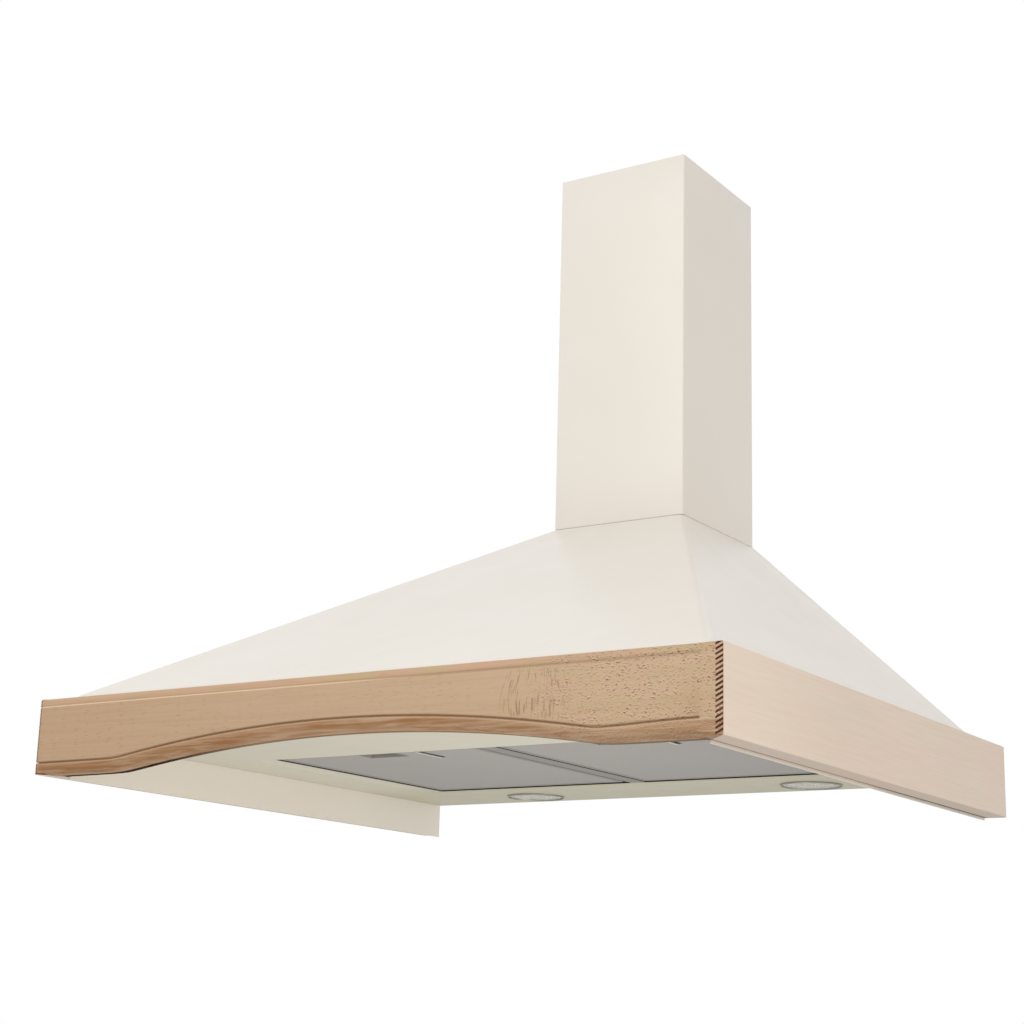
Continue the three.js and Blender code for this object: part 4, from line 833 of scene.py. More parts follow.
def mouldings(tree, face, base, colours):
    """Level streaks below the lower groove, which the arch crosses, a little stronger at the left as painted
    shade, and pale patches above the upper one.
    """
    across, beech = face.across, colours.beech
    lower = ranged(tree, face.over_groove, -2.6 * MM, -0.6 * MM, 1.0, 0.0)
    # Painted shade: the streaks are a little stronger at the left.
    fading = ranged(tree, across, -0.10, 0.24, 0.95, 0.88)
    uneven = ranged(tree, face.patches, 0.25, 0.7, 0.6, 1.0)
    streaked = times(tree, ranged(tree, face.streaks, 0.34, 0.62, 0.28, 1.0), fading, lower, uneven)
    base = lay(tree, streaked, colour4(colours.moulding), base)
    pink, straw = tinted(beech, 1.08, 0.96, 0.97), tinted(beech, 0.97, 1.02, 0.86)
    upper = ranged(tree, face.height, face.top_groove, face.top_groove + face.groove_half, 0.0, 0.75)
    base = lay(tree, upper, blended(tree, ranged(tree, face.patches, 0.38, 0.62), straw, pink), base)
    lined = times(tree, upper, ranged(tree, face.streaks, 0.45, 0.7), 0.3)
    base = lay(tree, lined, colour4(colours.beech_dark), base)
    mottled = times(tree, face.field, ranged(tree, across, 0.06, 0.20), 0.36)
    return lay(tree, mottled, blended(tree, ranged(tree, face.clumps, 0.40, 0.60), straw, pink), base)


def grooves(tree, face, base, dark):
    """Painted shade in the grooves, brown along the arch and along the top at the right, and a pale painted
    highlight in the top groove at the left.
    """
    across, half = face.across, face.groove_half
    arched = times(tree, band(tree, face.over_groove, 0.0, half * 0.22, half * 0.55), face.ends_short)
    # Painted shade in the arched groove.
    base = lay(tree, times(tree, arched, 0.66), (0.205, 0.098, 0.036, 1.0), base)
    level = times(tree, band(tree, face.height, face.top_groove, half * 0.15, half * 0.5), face.ends_short)
    # A pale painted highlight in the top groove, at the left.
    pale = times(tree, level, ranged(tree, across, -0.02, 0.08, 0.75, 0.0))
    base = lay(tree, pale, (0.86, 0.66, 0.45, 1.0), base)
    # Painted shade in the top groove, at the right.
    brown = times(tree, level, ranged(tree, across, 0.03, 0.12, 0.0, 0.28))
    return lay(tree, brown, colour4(dark, 0.8), base)


def front_beech(colours, sizes):
    """The front board: quiet at the left, bowed growth lines in the middle, flecked at the right."""
    tree, takes, place = start_finish("Front beech", colours.beech, Specular_IOR_Level=0.4)
    face, dark = FrontFace(tree, place, sizes), colours.beech_dark
    across, height = face.across, face.height
    base = board_tone(tree, face, colours.beech, dark)
    curls = times(tree, bowed_lines(tree, across, height, 0.160, 0.024), face.field)
    base = lay(tree, times(tree, curls, 0.95), colour4(dark, 0.75), base)
    base = mouldings(tree, face, base, colours)
    # Flecks grow denser toward the right end, each with a pale glint above it.
    in_field = ranged(tree, face.over_groove, -2 * MM, 1 * MM, 0.6, 1.0)
    clumped = ranged(tree, face.clumps, 0.35, 0.60, 0.45, 1.0)
    speckled = times(tree, ranged(tree, across, 0.130, 0.200), in_field, clumped)
    glints = times(tree, scattered(tree, across, sums(tree, "SUBTRACT", height, 0.7 * MM)), speckled)
    spots = times(tree, scattered(tree, across, height), speckled)
    base = lay(tree, times(tree, glints, 0.42), (0.86, 0.68, 0.42, 1.0), base)
    base = lay(tree, spots, colour4(dark, 0.52), base)
    base = grooves(tree, face, base, dark)
    # A shadowed arris at the left end.
    left_arris = ranged(tree, across, -OUTER_HALF + 0.6 * MM, -OUTER_HALF + 2.0 * MM, 0.8, 0.0)
    base = lay(tree, left_arris, colour4(dark, 0.5), base)
    relief = sums(tree, "SUBTRACT", face.figure["Height"], times(tree, spots, 0.2))
    relief = sums(tree, "SUBTRACT", relief, times(tree, curls, 0.6))
    rough = ranged(tree, face.figure["Lines"], 0.0, 1.0, 0.44, 0.56)
    finish_off(tree, takes, base, rough, relief, 0.045 * MM)


def board_shade(colours):
    """Painted shadow on the undersides of the boards where they meet the canopy: dull, and darkest at the
    left and rear.
    """
    tree, takes, place = start_finish("Board shade", colours.beech_dark, 1.0, Specular_IOR_Level=0.0)
    across, along, _ = parted(tree, place)
    in_front = ranged(tree, along, BOARD_BACK, BOARD_BACK + 1 * MM, 1.0, 0.0)
    at_left = ranged(tree, across, -0.19, -0.08, 1.0, 0.55)
    at_rear = ranged(tree, along, -0.04, 0.08, 0.25, 1.0)
    pores = drawn_cloud(tree, place, (300.0, 300.0, 900.0))
    shade = sums(tree, "MAXIMUM", times(tree, at_left, in_front), sums(tree, "SUBTRACT", at_rear, in_front))
    shade = times(tree, shade, ranged(tree, pores, 0.3, 0.7, 0.92, 1.0))
    give(tree, takes, Base_Color=blended(tree, shade, colour4(colours.beech), (0.022, 0.014, 0.010, 1.0)))


def side_beech(colours, name="Side beech", shade=1.0):
    """The side boards: pale and quiet, with a faint grain that runs from front to back."""
    tree, takes, place = start_finish(name, colours.side_beech, Specular_IOR_Level=0.4)
    lengthwise = stretched(tree, place, turn=(0, 0, math.pi / 2))
    figure = use_group(tree, "Beech figure", {"Place": lengthwise, "Ray length": 1.3, "Ray cover": 0.36})
    # A shade below 1 darkens the whole colour: painted shade, for the copy on the boards' undersides.
    pale = [part * shade for part in colours.side_beech]
    along = parted(tree, place)[1]
    patches = drawn_cloud(tree, place, (11.0, 11.0, 30.0), detail=3.0, rough=0.55, bend=0.6)
    green, pink = tinted(pale, 0.955, 0.985, 0.95), tinted(pale, 1.0, 0.965, 0.955)
    base = blended(tree, ranged(tree, patches, 0.3, 0.7), green, pink)
    # Painted light: lighter toward the front end.
    base = blended(tree, ranged(tree, along, FRONT, FRONT + 0.22, 0.75, 0.12), base, colour4(pale, 1.18))
    base = blended(tree, times(tree, figure["Tone"], 0.04), base, colour4(colours.beech))
    base = blended(tree, times(tree, figure["Lines"], 0.07), base, colour4(colours.beech))
    base = blended(tree, times(tree, figure["Rays"], 0.09), base, colour4(colours.beech_dark, 1.5))
    # Painted shade: a grey line along the rear end.
    rear_edge = ranged(tree, along, REAR - 1.3 * MM, REAR - 0.5 * MM, 0.0, 0.5)
    base = blended(tree, rear_edge, base, (0.20, 0.19, 0.17, 1.0))
    rough = ranged(tree, figure["Lines"], 0.0, 1.0, 0.46, 0.58)
    finish_off(tree, takes, base, rough, figure["Height"], 0.03 * MM)


def end_grain(colours):
    """The cut ends of the joint fingers."""
    tree, takes, place = start_finish("End grain", colours.end_grain, Specular_IOR_Level=0.1)
    pores = drawn_cloud(tree, place, (1600.0, 1600.0, 2600.0), detail=3.0, rough=0.65)
    tone = drawn_cloud(tree, place, (90.0, 90.0, 150.0))
    pored = ranged(tree, pores, 0.35, 0.7)
    base = blended(tree, pored, colour4(colours.end_grain), colour4(colours.end_grain, 2.4))
    base = blended(tree, ranged(tree, tone, 0.45, 0.75, 0.0, 0.45), base, colour4(colours.beech_dark))
    rough = ranged(tree, pores, 0.3, 0.7, 0.55, 0.75)
    finish_off(tree, takes, base, rough, pores, 0.05 * MM)


def filter_mesh_finish(colour):
    """Layers of expanded aluminium mesh: small diamonds, the next layer in the gaps."""
    tree, takes, place = start_finish("Filter mesh", colour, Specular_IOR_Level=0.6)
    skin = use_group(tree, "Drawn metal", {"Place": place, "Gloss": 0.46, "Stains": 0.2})
    layers = []
    for shift in ((0, 0, 0), (0.0004, 0.00025, 0)):
        diamonds = stretched(tree, place, (620.0, 980.0, 1.0), shift, (0, 0, math.pi / 4))
        feeds = {"Vector": diamonds, "Scale": 1.0, "Randomness": 0.08}
        cells = put(tree, "ShaderNodeTexVoronoi", feeds, feature="DISTANCE_TO_EDGE").outputs
        layers.append(ranged(tree, cells["Distance"], 0.04, 0.30, 1.0, 0.0))
    strands = sums(tree, "MAXIMUM", layers[0], times(tree, layers[1], 0.6))
    base = blended(tree, strands, colour4(colour, 0.62), colour4(colour, 1.12))
    base = blended(tree, times(tree, skin["Tone"], 0.25), base, colour4(colour, 0.8))
    finish_off(tree, takes, base, skin["Roughness"], strands, 0.04 * MM)


def clear_glass(name, clear, index, gloss, tint=(0.95, 0.95, 0.90)):
    """Pressed glass: small prisms that catch the light, some of them painted near white as highlights, under
    a haze of grease.
    """
    tree, takes, place = start_finish(name, tint, gloss, IOR=index, Transmission_Weight=clear)
    prisms, chance = cells_of(tree, place, 560.0)
    # Painted highlights: some prisms near white.
    base = blended(tree, ranged(tree, chance[0], 0.45, 0.95), colour4(tint), (1.0, 1.0, 0.97, 1.0))
    haze = ranged(tree, cloud(tree, place, 90.0, detail=3.0), 0.45, 0.75, gloss, gloss + 0.10)
    finish_off(tree, takes, base, haze, prisms["Distance"], 0.20 * MM)


def mirror():
    """The lamps' polished reflectors."""
    tree, takes, place = start_finish("Lamp mirror", (0.92, 0.92, 0.905), metallic=0.7)
    skin = use_group(tree, "Drawn metal", {"Place": place, "Gloss": 0.22, "Stains": 0.3})
    dimples = put(tree, "ShaderNodeTexVoronoi", {"Vector": place, "Scale": 420.0, "Randomness": 0.3}).outputs
    base = blended(tree, skin["Tone"], (0.93, 0.93, 0.915, 1.0), (0.80, 0.80, 0.79, 1.0))
    finish_off(tree, takes, base, skin["Roughness"], dimples["Distance"], 0.12 * MM)


def ceramic():
    """The lamp holders."""
    white = (0.80, 0.785, 0.73)
    tree, takes, place = start_finish("Lamp ceramic", white, 0.55)
    skin = use_group(tree, "Moulded skin", {"Place": place, "Grain size": 1800.0, "Gloss": 0.58})
    specks = ranged(tree, cloud(tree, place, 1400.0), 0.66, 0.74)
    base = blended(tree, times(tree, specks, 0.3), colour4(white), (0.4, 0.36, 0.3, 1))
    finish_off(tree, takes, base, skin["Roughness"], skin["Height"], 0.03 * MM)


def floor_finish():
    """The plain pale floor, white to the camera."""
    pale = (0.86, 0.86, 0.855)
    tree, takes, place = start_finish("Studio floor", pale, 0.8, Specular_IOR_Level=0.2)
    grain = ranged(tree, cloud(tree, place, 60.0), 0.3, 0.7)
    give(tree, takes, Base_Color=blended(tree, grain, colour4(pale), (0.875, 0.875, 0.87, 1.0)))
    seen = times(tree, put(tree, "ShaderNodeLightPath").outputs["Is Camera Ray"], 0.9)
    white = put(tree, "ShaderNodeEmission", {"Color": (1.0, 1.0, 1.0, 1.0), "Strength": 1.0}).outputs[0]
    paint = tree.nodes["Principled BSDF"].outputs[0]
    shown = put(tree, "ShaderNodeMixShader", {0: seen, 1: paint, 2: white}).outputs[0]
    give(tree, tree.nodes["Material Output"].inputs, Surface=shown)


def build_finishes(colours, sizes):
    build_groups()
    painted("Cream paint", colours.cream, gloss=0.34)
    underside_paint(colours.pan)
    front_beech(colours, sizes)
    side_beech(colours)
    # The copy for the side boards' undersides is darkened as painted shade.
    side_beech(colours, "Side beech in painted shade", shade=0.80)
    board_shade(colours)
    end_grain(colours)
    zinc_sheet(colours.zinc)
    metal("Filter frame aluminium", colours.aluminium, 0.50, lines=0.0008 * MM, dark=0.985, stains=0.3)
    # A pale metal that paints a highlight on the filters' slot lips.
    metal("Lip highlight", (0.86, 0.85, 0.82), 0.44, lines=0.0008 * MM, dark=0.97, stains=0.2)
    metal("Lamp ring metal", (0.45, 0.44, 0.38), 0.34, lines=0.004 * MM, dark=0.9)
    metal("Screw steel", colours.screw_steel, 0.26)
    filter_mesh_finish(colours.aluminium)
    moulded("Slot shade", (0.022, 0.020, 0.018), 0.9)
    moulded("Dark plastic", colours.dark_plastic, 0.42, light=1.5)
    moulded("Grey plastic", colours.grey_plastic, 0.45)
    moulded("White plastic", colours.white_plastic, 0.32, grain=0.008 * MM, light=1.02)
    clear_glass("Lamp glass", 0.40, 1.30, 0.08, (0.80, 0.78, 0.67))
    clear_glass("Bulb glass", 0.55, 1.35, 0.10)
    mirror()
    ceramic()
    floor_finish()


# ---------------------------------------------------------------- operators


class HOOD_OT_stage(bpy.types.Operator):
    """Sets up the finishes, the floor, the light and the camera"""

    bl_idname = "hood.stage"
    bl_label = "Stage and finishes"

    def execute(self, context):
        studio = context.scene.hood_studio
        build_finishes(context.scene.hood_colours, context.scene.hood_sizes)
        self.world(context, studio)
        self.floor(studio)
        self.lamp(
            "Key lamp",
            place=(-0.15, -2.5, 1.35),
            target=(0, 0, 0.25),
            size=2.0,
            power=studio.key_light,
            colour=(1.0, 0.995, 0.985),
        )
        self.lamp(
            "Side lamp",
            place=(2.4, -0.35, -0.45),
            target=(0, 0, 0.15),
            size=1.6,
            power=studio.side_light,
            colour=(1.0, 0.92, 0.855),
        )
        self.lamp(
            "Low lamp",
            place=(0.08, -0.12, -0.30),
            target=(-0.26, 0.04, 0.02),
            size=0.35,
            power=studio.low_light,
            colour=(1.0, 0.95, 0.84),
        )
        self.camera(context, studio)
        context.scene.view_settings.view_transform = "Standard"
        return {"FINISHED"}

    def world(self, context, studio):
        """Even light all round, and a white ground for the camera, in reflections and through glass."""
        world = bpy.data.worlds.new("Studio")
        world.use_nodes = True
        tree = world.node_tree
        tree.nodes.clear()
        even = put(tree, "ShaderNodeBackground", {0: (1.0, 0.995, 0.985, 1.0), 1: studio.room_light})
        white = put(tree, "ShaderNodeBackground", {0: (1.0, 1.0, 1.0, 1.0), 1: 1.0})
        path = put(tree, "ShaderNodeLightPath").outputs
        seen = sums(tree, "MAXIMUM", path["Is Camera Ray"], path["Is Glossy Ray"])
        seen = sums(tree, "MAXIMUM", seen, path["Is Transmission Ray"])
        shown = put(tree, "ShaderNodeMixShader", {0: seen, 1: even.outputs[0], 2: white.outputs[0]})
        put(tree, "ShaderNodeOutputWorld", {0: shown.outputs[0]})
        context.scene.world = world

    def floor(self, studio):
        bpy.ops.mesh.primitive_plane_add(size=60, location=(0, 0, studio.floor_height))
        floor = bpy.context.object
        floor.name = floor.data.name = "studio_floor"
        coat(settle(floor), "Studio floor")

    def lamp(self, name, place, target, size, power, colour):
        """A square soft lamp that faces a place on the hood."""
        bpy.ops.object.light_add(type="AREA", location=place)
        lamp = bpy.context.object
        lamp.name = lamp.data.name = name
        lamp.data.shape = "SQUARE"
        lamp.data.size = size
        lamp.data.energy = power
        lamp.data.color = colour
        lamp.visible_camera = False
        toward = Vector(target) - Vector(place)
        lamp.rotation_euler = toward.to_track_quat("-Z", "Y").to_euler()

    def camera(self, context, studio):
        turn, tilt, roll = studio.camera_turn, studio.camera_tilt, studio.camera_roll
        ahead = Vector((-math.sin(turn) * math.cos(tilt), math.cos(turn) * math.cos(tilt), math.sin(tilt)))
        right = Vector((math.cos(turn), math.sin(turn), 0))
        up = right.cross(ahead)
        rolled_right = math.cos(roll) * right + math.sin(roll) * up
        rolled_up = -math.sin(roll) * right + math.cos(roll) * up
        bpy.ops.object.camera_add()
        camera = bpy.context.object
        axes = Matrix((rolled_right, rolled_up, -ahead)).transposed()
        camera.matrix_world = Matrix.Translation(studio.camera_place) @ axes.to_4x4()
        camera.data.lens = studio.lens
        camera.data.sensor_width = 36
        context.scene.camera = camera


def ease(value, low, high):
    """0 below low, 1 above high, smooth between."""
    share = min(max((value - low) / (high - low), 0), 1)
    return share * share * (3 - 2 * share)


def face_recess(height, across, sizes):
    """How far the front face steps back at a height over the lower edge, for the routed section."""
    to_right, to_left = OUTER_HALF - across, OUTER_HALF + across
    stop = ease(to_right, sizes.groove_stop - STOP_BEFORE, sizes.groove_stop + STOP_BEYOND)
    run = min(ease(to_right, 6 * MM, 26 * MM), ease(to_left, -1 * MM, 5 * MM))
    low = sizes.end_round + (sizes.bottom_round - sizes.end_round) * run
    deep = sizes.end_round + (sizes.bottom_depth - sizes.end_round) * run
    high = sizes.end_round + (sizes.top_round - sizes.end_round) * run
    below_top = BOARD_TOP - BOARD_BOTTOM - height
    recess = 0.0
    if height < low:
        recess = deep * (1 - math.sqrt(max(1 - (1 - height / low) ** 2, 0)))
    if below_top < high:
        recess = max(recess, high - math.sqrt(max(high * high - (high - below_top) ** 2, 0)))
    low_groove = sizes.groove_inset + sizes.groove_rise * ease(across, *GROOVE_TURN)
    top_groove_share = 0.45
    for away, share in ((height - low_groove, 1.0), (below_top - sizes.top_inset, top_groove_share)):
        from_middle = min(abs(away) / sizes.groove_half, 1)
        depth = share * sizes.groove_depth * (1 + math.cos(math.pi * from_middle)) / 2
        recess = max(recess, depth * stop)
    return recess


def edge_rise(across, sizes):
    """Height of the arch over the rim at a place along the front board."""
    radius, below = arch_circle(sizes)
    arch = math.sqrt(max(radius * radius - (across - sizes.arch_shift) ** 2, 0)) - below
    return (arch + math.hypot(arch, sizes.arch_blend)) / 2


class HOOD_OT_boards(bpy.types.Operator):
    """Makes the routed front board, the two side boards and their finger joints"""

    bl_idname = "hood.boards"
    bl_label = "Beech boards"

    # Millimetres from an edge at which rows follow its rounding, and the first row of the flat face.
    arc_rows = (0.06, 0.2, 0.45, 0.9, 1.5, 2.3, 3.3, 4.6, 6.0)
    flat_row = 7.5
    # Millimetres from the front board's ends at which columns follow the grooves' stop and the left arris.
    right_columns = (16.2, 16.8, 17.4, 18.0, 18.9)
    left_columns = (0.5, 1.2, 2.2, 4.6)
    back_round = 0.6 * MM
    inner_strip = 2.2 * MM  # width of the underside that lies in the shade of the canopy's skirt
    slot_play = 0.12 * MM
    finger_root = 19 * MM

    def execute(self, context):
        sizes = context.scene.hood_sizes
        front = self.front_blank("beech_front_board", sizes)
        full_front = twin(front, "full_front")
        boards = {side: self.side_blank(f"beech_{side}_board", sign, sizes) for side, sign in SIDES.items()}
        full_left = twin(boards["left"], "full_left")
        for side, sign in SIDES.items():
            self.mitre(front, sign, keep_front=True)
            self.mitre(boards[side], sign, keep_front=False)
        fingers = self.comb("right_fingers", 1, sizes, 0.0)
        cut_with(fingers, full_front, "INTERSECT")
        cut_with(front, self.comb("right_slots", 1, sizes, self.slot_play))
        tenons = self.comb("left_fingers", -1, sizes, 0.0)
        cut_with(tenons, full_left, "INTERSECT")
        cut_with(boards["left"], self.comb("left_slots", -1, sizes, self.slot_play))
        for piece in (fingers, tenons):
            coat(piece, "End grain")
        coat(front, "Front beech")
        for piece in boards.values():
            coat(piece, "Side beech")
        join(front, tenons)
        join(boards["right"], fingers)
        self.finish_board(front, "Front beech")
        place_piece(front, "hood_body", "beech_face", "front_board")
        for side, piece in boards.items():
            # The undersides take the side beech darkened as painted shade.
            self.finish_board(piece, "Side beech in painted shade")
            place_piece(piece, "hood_body", "beech_side", f"{side}_side_board")
        return {"FINISHED"}

    def finish_board(self, piece, beneath):
        """Gives the underside its own finish, for the side boards their beech darkened as painted shade, and
        painted shadow where it meets the canopy.
        """
        slots = piece.data.materials
        for finish in (beneath, "Board shade"):
            slots.append(bpy.data.materials[finish])
        shaded = len(slots) - 1
        inner_back, inner_side = BOARD_BACK - 6.5 * MM, BOARD_INNER + self.inner_strip
        for face in piece.data.polygons:
            if face.normal.z < -0.7 and face.material_index == 0:
                inner = face.center.y > inner_back and abs(face.center.x) < inner_side
                face.material_index = shaded if inner else shaded - 1
        smooth(piece, 38)

    def levels(self, sizes):
        """Heights of the rows that carry the routed section."""
        quarter = sizes.groove_half / MM / 4
        steps = range(-4, 5 + math.ceil(sizes.groove_rise / MM / quarter))
        rows = [*self.arc_rows, self.flat_row, *[sizes.groove_inset / MM + quarter * s for s in steps]]
        high_rows = [*self.arc_rows[1:7], *[sizes.top_inset / MM + quarter * s for s in range(-4, 5)]]
        return [BOARD_BOTTOM + r * MM for r in rows], [BOARD_TOP - r * MM for r in high_rows]

    def front_blank(self, name, sizes):
        """The front board at its full length, before its corners are cut."""
        columns = 180
        piece = block(name, (-OUTER_HALF, FRONT, BOARD_BOTTOM), (OUTER_HALF, BOARD_BACK, BOARD_TOP))
        low_rows, high_rows = self.levels(sizes)
        with shaping(piece):
            pick("EDGE", lambda place, way: abs(way.x) > ALIGNED)
            bpy.ops.mesh.subdivide(number_cuts=columns - 1)
            slice_at(0, *[OUTER_HALF - d * MM for d in self.right_columns])
            slice_at(0, *[d * MM - OUTER_HALF for d in self.left_columns])
            slice_at(2, *low_rows, *high_rows)
        middle = (BOARD_TOP + BOARD_BOTTOM) / 2
        arched = [
            (vertex.index, min(edge_rise(vertex.co.x, sizes) / sizes.arch_rise, 1))
            for vertex in piece.data.vertices
            if vertex.co.z < middle
        ]
        routed = self.routed(piece, sizes)
        push(piece, "Z", sizes.arch_rise, arched, "arch")
        push(piece, "Y", sizes.bottom_depth, routed, "section")

        def back_edge(place, way):
            lower = near(place.z, BOARD_BOTTOM + edge_rise(place.x, sizes), 0.3 * MM)
            upper = place.z > BOARD_TOP - 0.1 * MM
            return near(place.y, BOARD_BACK) and abs(way.x) > 0.8 and (upper or lower)

        with shaping(piece):
            pick("EDGE", back_edge)
            round_off(self.back_round, 2)
        return piece

    def side_blank(self, name, sign, sizes):
        """A side board at its full length, with the front board's section on the right one's front end."""
        inner, outer = sorted((sign * BOARD_INNER, sign * OUTER_HALF))
        piece = block(name, (inner, FRONT, BOARD_BOTTOM), (outer, REAR, BOARD_TOP))
        low_rows, high_rows = self.levels(sizes)
        with shaping(piece):
            pick("EDGE", lambda place, way: abs(way.y) > ALIGNED and place.x * sign > BOARD_INNER + 1 * MM)
            round_off(1.0 * MM, 4)
            pick("EDGE", lambda place, way: abs(way.y) > ALIGNED and near(abs(place.x), BOARD_INNER))
            round_off(self.back_round, 2)
            pick("EDGE", lambda place, way: near(place.y, REAR))
            round_off(0.4 * MM, 2)
            slice_at(2, *low_rows, *high_rows)
            slice_at(0, sign * (BOARD_INNER + self.inner_strip))
        if sign > 0:
            push(piece, "Y", sizes.bottom_depth, self.routed(piece, sizes, OUTER_HALF), "section")
        return piece

    def routed(self, piece, sizes, across=None):
        """How far each vertex of the front face steps back, there or as at one place along, by share."""
        shares = []
        for vertex in piece.data.vertices:
            if vertex.co.y < FRONT + 0.1 * MM:
                along = vertex.co.x if across is None else across
                recess = face_recess(vertex.co.z - BOARD_BOTTOM, along, sizes)
                shares.append((vertex.index, recess / sizes.bottom_depth))
        return shares

    def mitre(self, piece, sign, keep_front):
        """Cuts a corner at 45 degrees, a hair short of the mitre plane."""
        hair = 0.12 * MM
        shift = -hair if keep_front else hair
        with shaping(piece):
            bpy.ops.mesh.select_all(action="SELECT")
            bpy.ops.mesh.bisect(
                plane_co=(sign * OUTER_HALF, FRONT + shift, BOARD_TOP / 2),
                plane_no=(sign, 1, 0),
                use_fill=True,
                clear_outer=keep_front,
                clear_inner=not keep_front,
            )

    def comb(self, name, sign, sizes, play):
        """Slanted, tapered fingers across a corner, eased all round where they cut slots."""
        pitch = (BOARD_TOP - BOARD_BOTTOM) / sizes.finger_count
        middle, half = BOARD_BOTTOM + pitch * 0.75, pitch / 4 + play
        reach, over, root = sizes.finger_reach + play, 1.0 * MM, self.finger_root
        low, high = Vector((0, 0, middle - half)), Vector((0, 0, middle + half))
        if sign > 0:
            low.xy, high.xy = (OUTER_HALF - reach, FRONT - over), (OUTER_HALF + over, FRONT + root)
            lean = (low.y - high.y, 0, 0)
        else:
            low.xy, high.xy = (-OUTER_HALF - over, FRONT - over), (-OUTER_HALF + root, FRONT + reach)
            lean = (0, high.x - low.x, 0)

        def leaned(place):
            return place.y > FRONT if sign > 0 else place.x > -OUTER_HALF

        def toward_tip(place):
            """Above 0 at the end of a finger that rises, below 0 at the end that sinks."""
            if sign > 0:
                return place.x - (OUTER_HALF if place.y < FRONT else OUTER_HALF - root)
            return place.y - (FRONT if place.x < -OUTER_HALF else FRONT + root)

        piece = block(name, low, high)
        rise = sizes.finger_slant / 2
        with shaping(piece):
            pick("VERT", lambda place, way: leaned(place))
            bpy.ops.transform.translate(value=lean)
            pick("VERT", lambda place, way: toward_tip(place) > 0)
            bpy.ops.transform.translate(value=(0, 0, rise))
            pick("VERT", lambda place, way: toward_tip(place) < 0)
            bpy.ops.transform.translate(value=(0, 0, -rise))
            bpy.ops.transform.resize(value=(1, 1, sizes.finger_taper), center_override=(0, 0, middle - rise))
        return change(
            piece,
            "ARRAY",
            count=sizes.finger_count,
            use_relative_offset=False,
            use_constant_offset=True,
            constant_offset_displace=(0, 0, pitch),
        )


class HOOD_OT_canopy(bpy.types.Operator):
    """Folds the painted canopy"""

    bl_idname = "hood.canopy"
    bl_label = "Canopy"

    front_edge = 24 * MM  # the front skirt ends here, above the arch
    under_cover = 0.3 * MM  # the canopy's flat top lies this far below the cover
    lip_height = 7 * MM
    lip_inset = 1.3 * MM
    rim_round = 1.2 * MM
    collar_wall = 4.9 * MM  # the duct hole is this much smaller than the collar's flange

    def execute(self, context):
        sizes = context.scene.hood_sizes
        low, high = CANOPY_LOW, CANOPY_HIGH
        top = LOWER_COVER_LOW.z - self.under_cover
        narrow = LOWER_COVER_HIGH.x / high.x
        shallow = (high.y - LOWER_COVER_LOW.y) / (high.y - low.y)
        lifted = BOARD_TOP + sizes.front_lift

        def left_open(place, way):
            """The wall side, the underside, and the front skirt where it would show under the arch."""
            low_front = way.y < -ALIGNED and place.z < self.front_edge
            return way.y > ALIGNED or way.z < -ALIGNED or low_front

        def clear_of_wall(place):
            return place.y < high.y - 1 * MM

        def ridge(place, way):
            return abs(way.z) > 0.2 and BOARD_TOP + 1 * MM < place.z < top - 1 * MM and clear_of_wall(place)

        def level_fold(place, way):
            at_top = near(place.z, top, 0.2 * MM)
            at_boards = abs(way.z) < 0.2 and BOARD_TOP - 0.2 * MM < place.z < lifted + 0.2 * MM
            return (at_top or at_boards) and clear_of_wall(place)

        piece = block("canopy_sheet", low, (high.x, high.y, BOARD_TOP))
        with shaping(piece):
            pick("FACE", lambda place, way: way.z > ALIGNED)
            bpy.ops.mesh.extrude_region_move(TRANSFORM_OT_translate={"value": (0, 0, top - BOARD_TOP)})
            bpy.ops.transform.resize(value=(narrow, shallow, 1), center_override=(0, high.y, top))
            pick("VERT", lambda place, way: near(place.z, BOARD_TOP) and near(place.y, low.y))
            bpy.ops.transform.translate(value=(0, 0, sizes.front_lift))
            slice_at(2, self.front_edge)
            remove_faces(left_open)
            pick("EDGE", ridge)
            round_off(sizes.ridge_radius, 6)
            pick("EDGE", level_fold)
            round_off(sizes.fold_radius, 4)
            pick("EDGE", lambda place, way: upright(way) and place.y < low.y + 1 * MM)
            round_off(sizes.fold_radius, 4)
        thicken(piece, sizes.sheet)
        smooth(piece, 40)
        duct_low, duct_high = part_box("outlet_collar")
        centre = middle_of("outlet_collar")
        drill(piece, (duct_high.x - duct_low.x) / 2 - self.collar_wall, (centre.x, centre.y, top))
        join(piece, self.lip(top, sizes))
        place_piece(coat(piece, "Cream paint"), "hood_body", "cream_paint", "canopy_shell")
        return {"FINISHED"}

    def lip(self, top, sizes):
        """The upstand that the lower cover fits over."""
        half, front = LOWER_COVER_HIGH.x - self.lip_inset, LOWER_COVER_LOW.y + self.lip_inset
        piece = block("lip", (-half, front, top - 0.5 * MM), (half, CANOPY_HIGH.y, top + self.lip_height))
        with shaping(piece):
            remove_faces(lambda place, way: upright(way) or way.y > ALIGNED)
            pick("EDGE", lambda place, way: upright(way) and place.y < CANOPY_HIGH.y - 1 * MM)
            round_off(self.rim_round, 3)
        return smooth(thicken(piece, sizes.sheet))


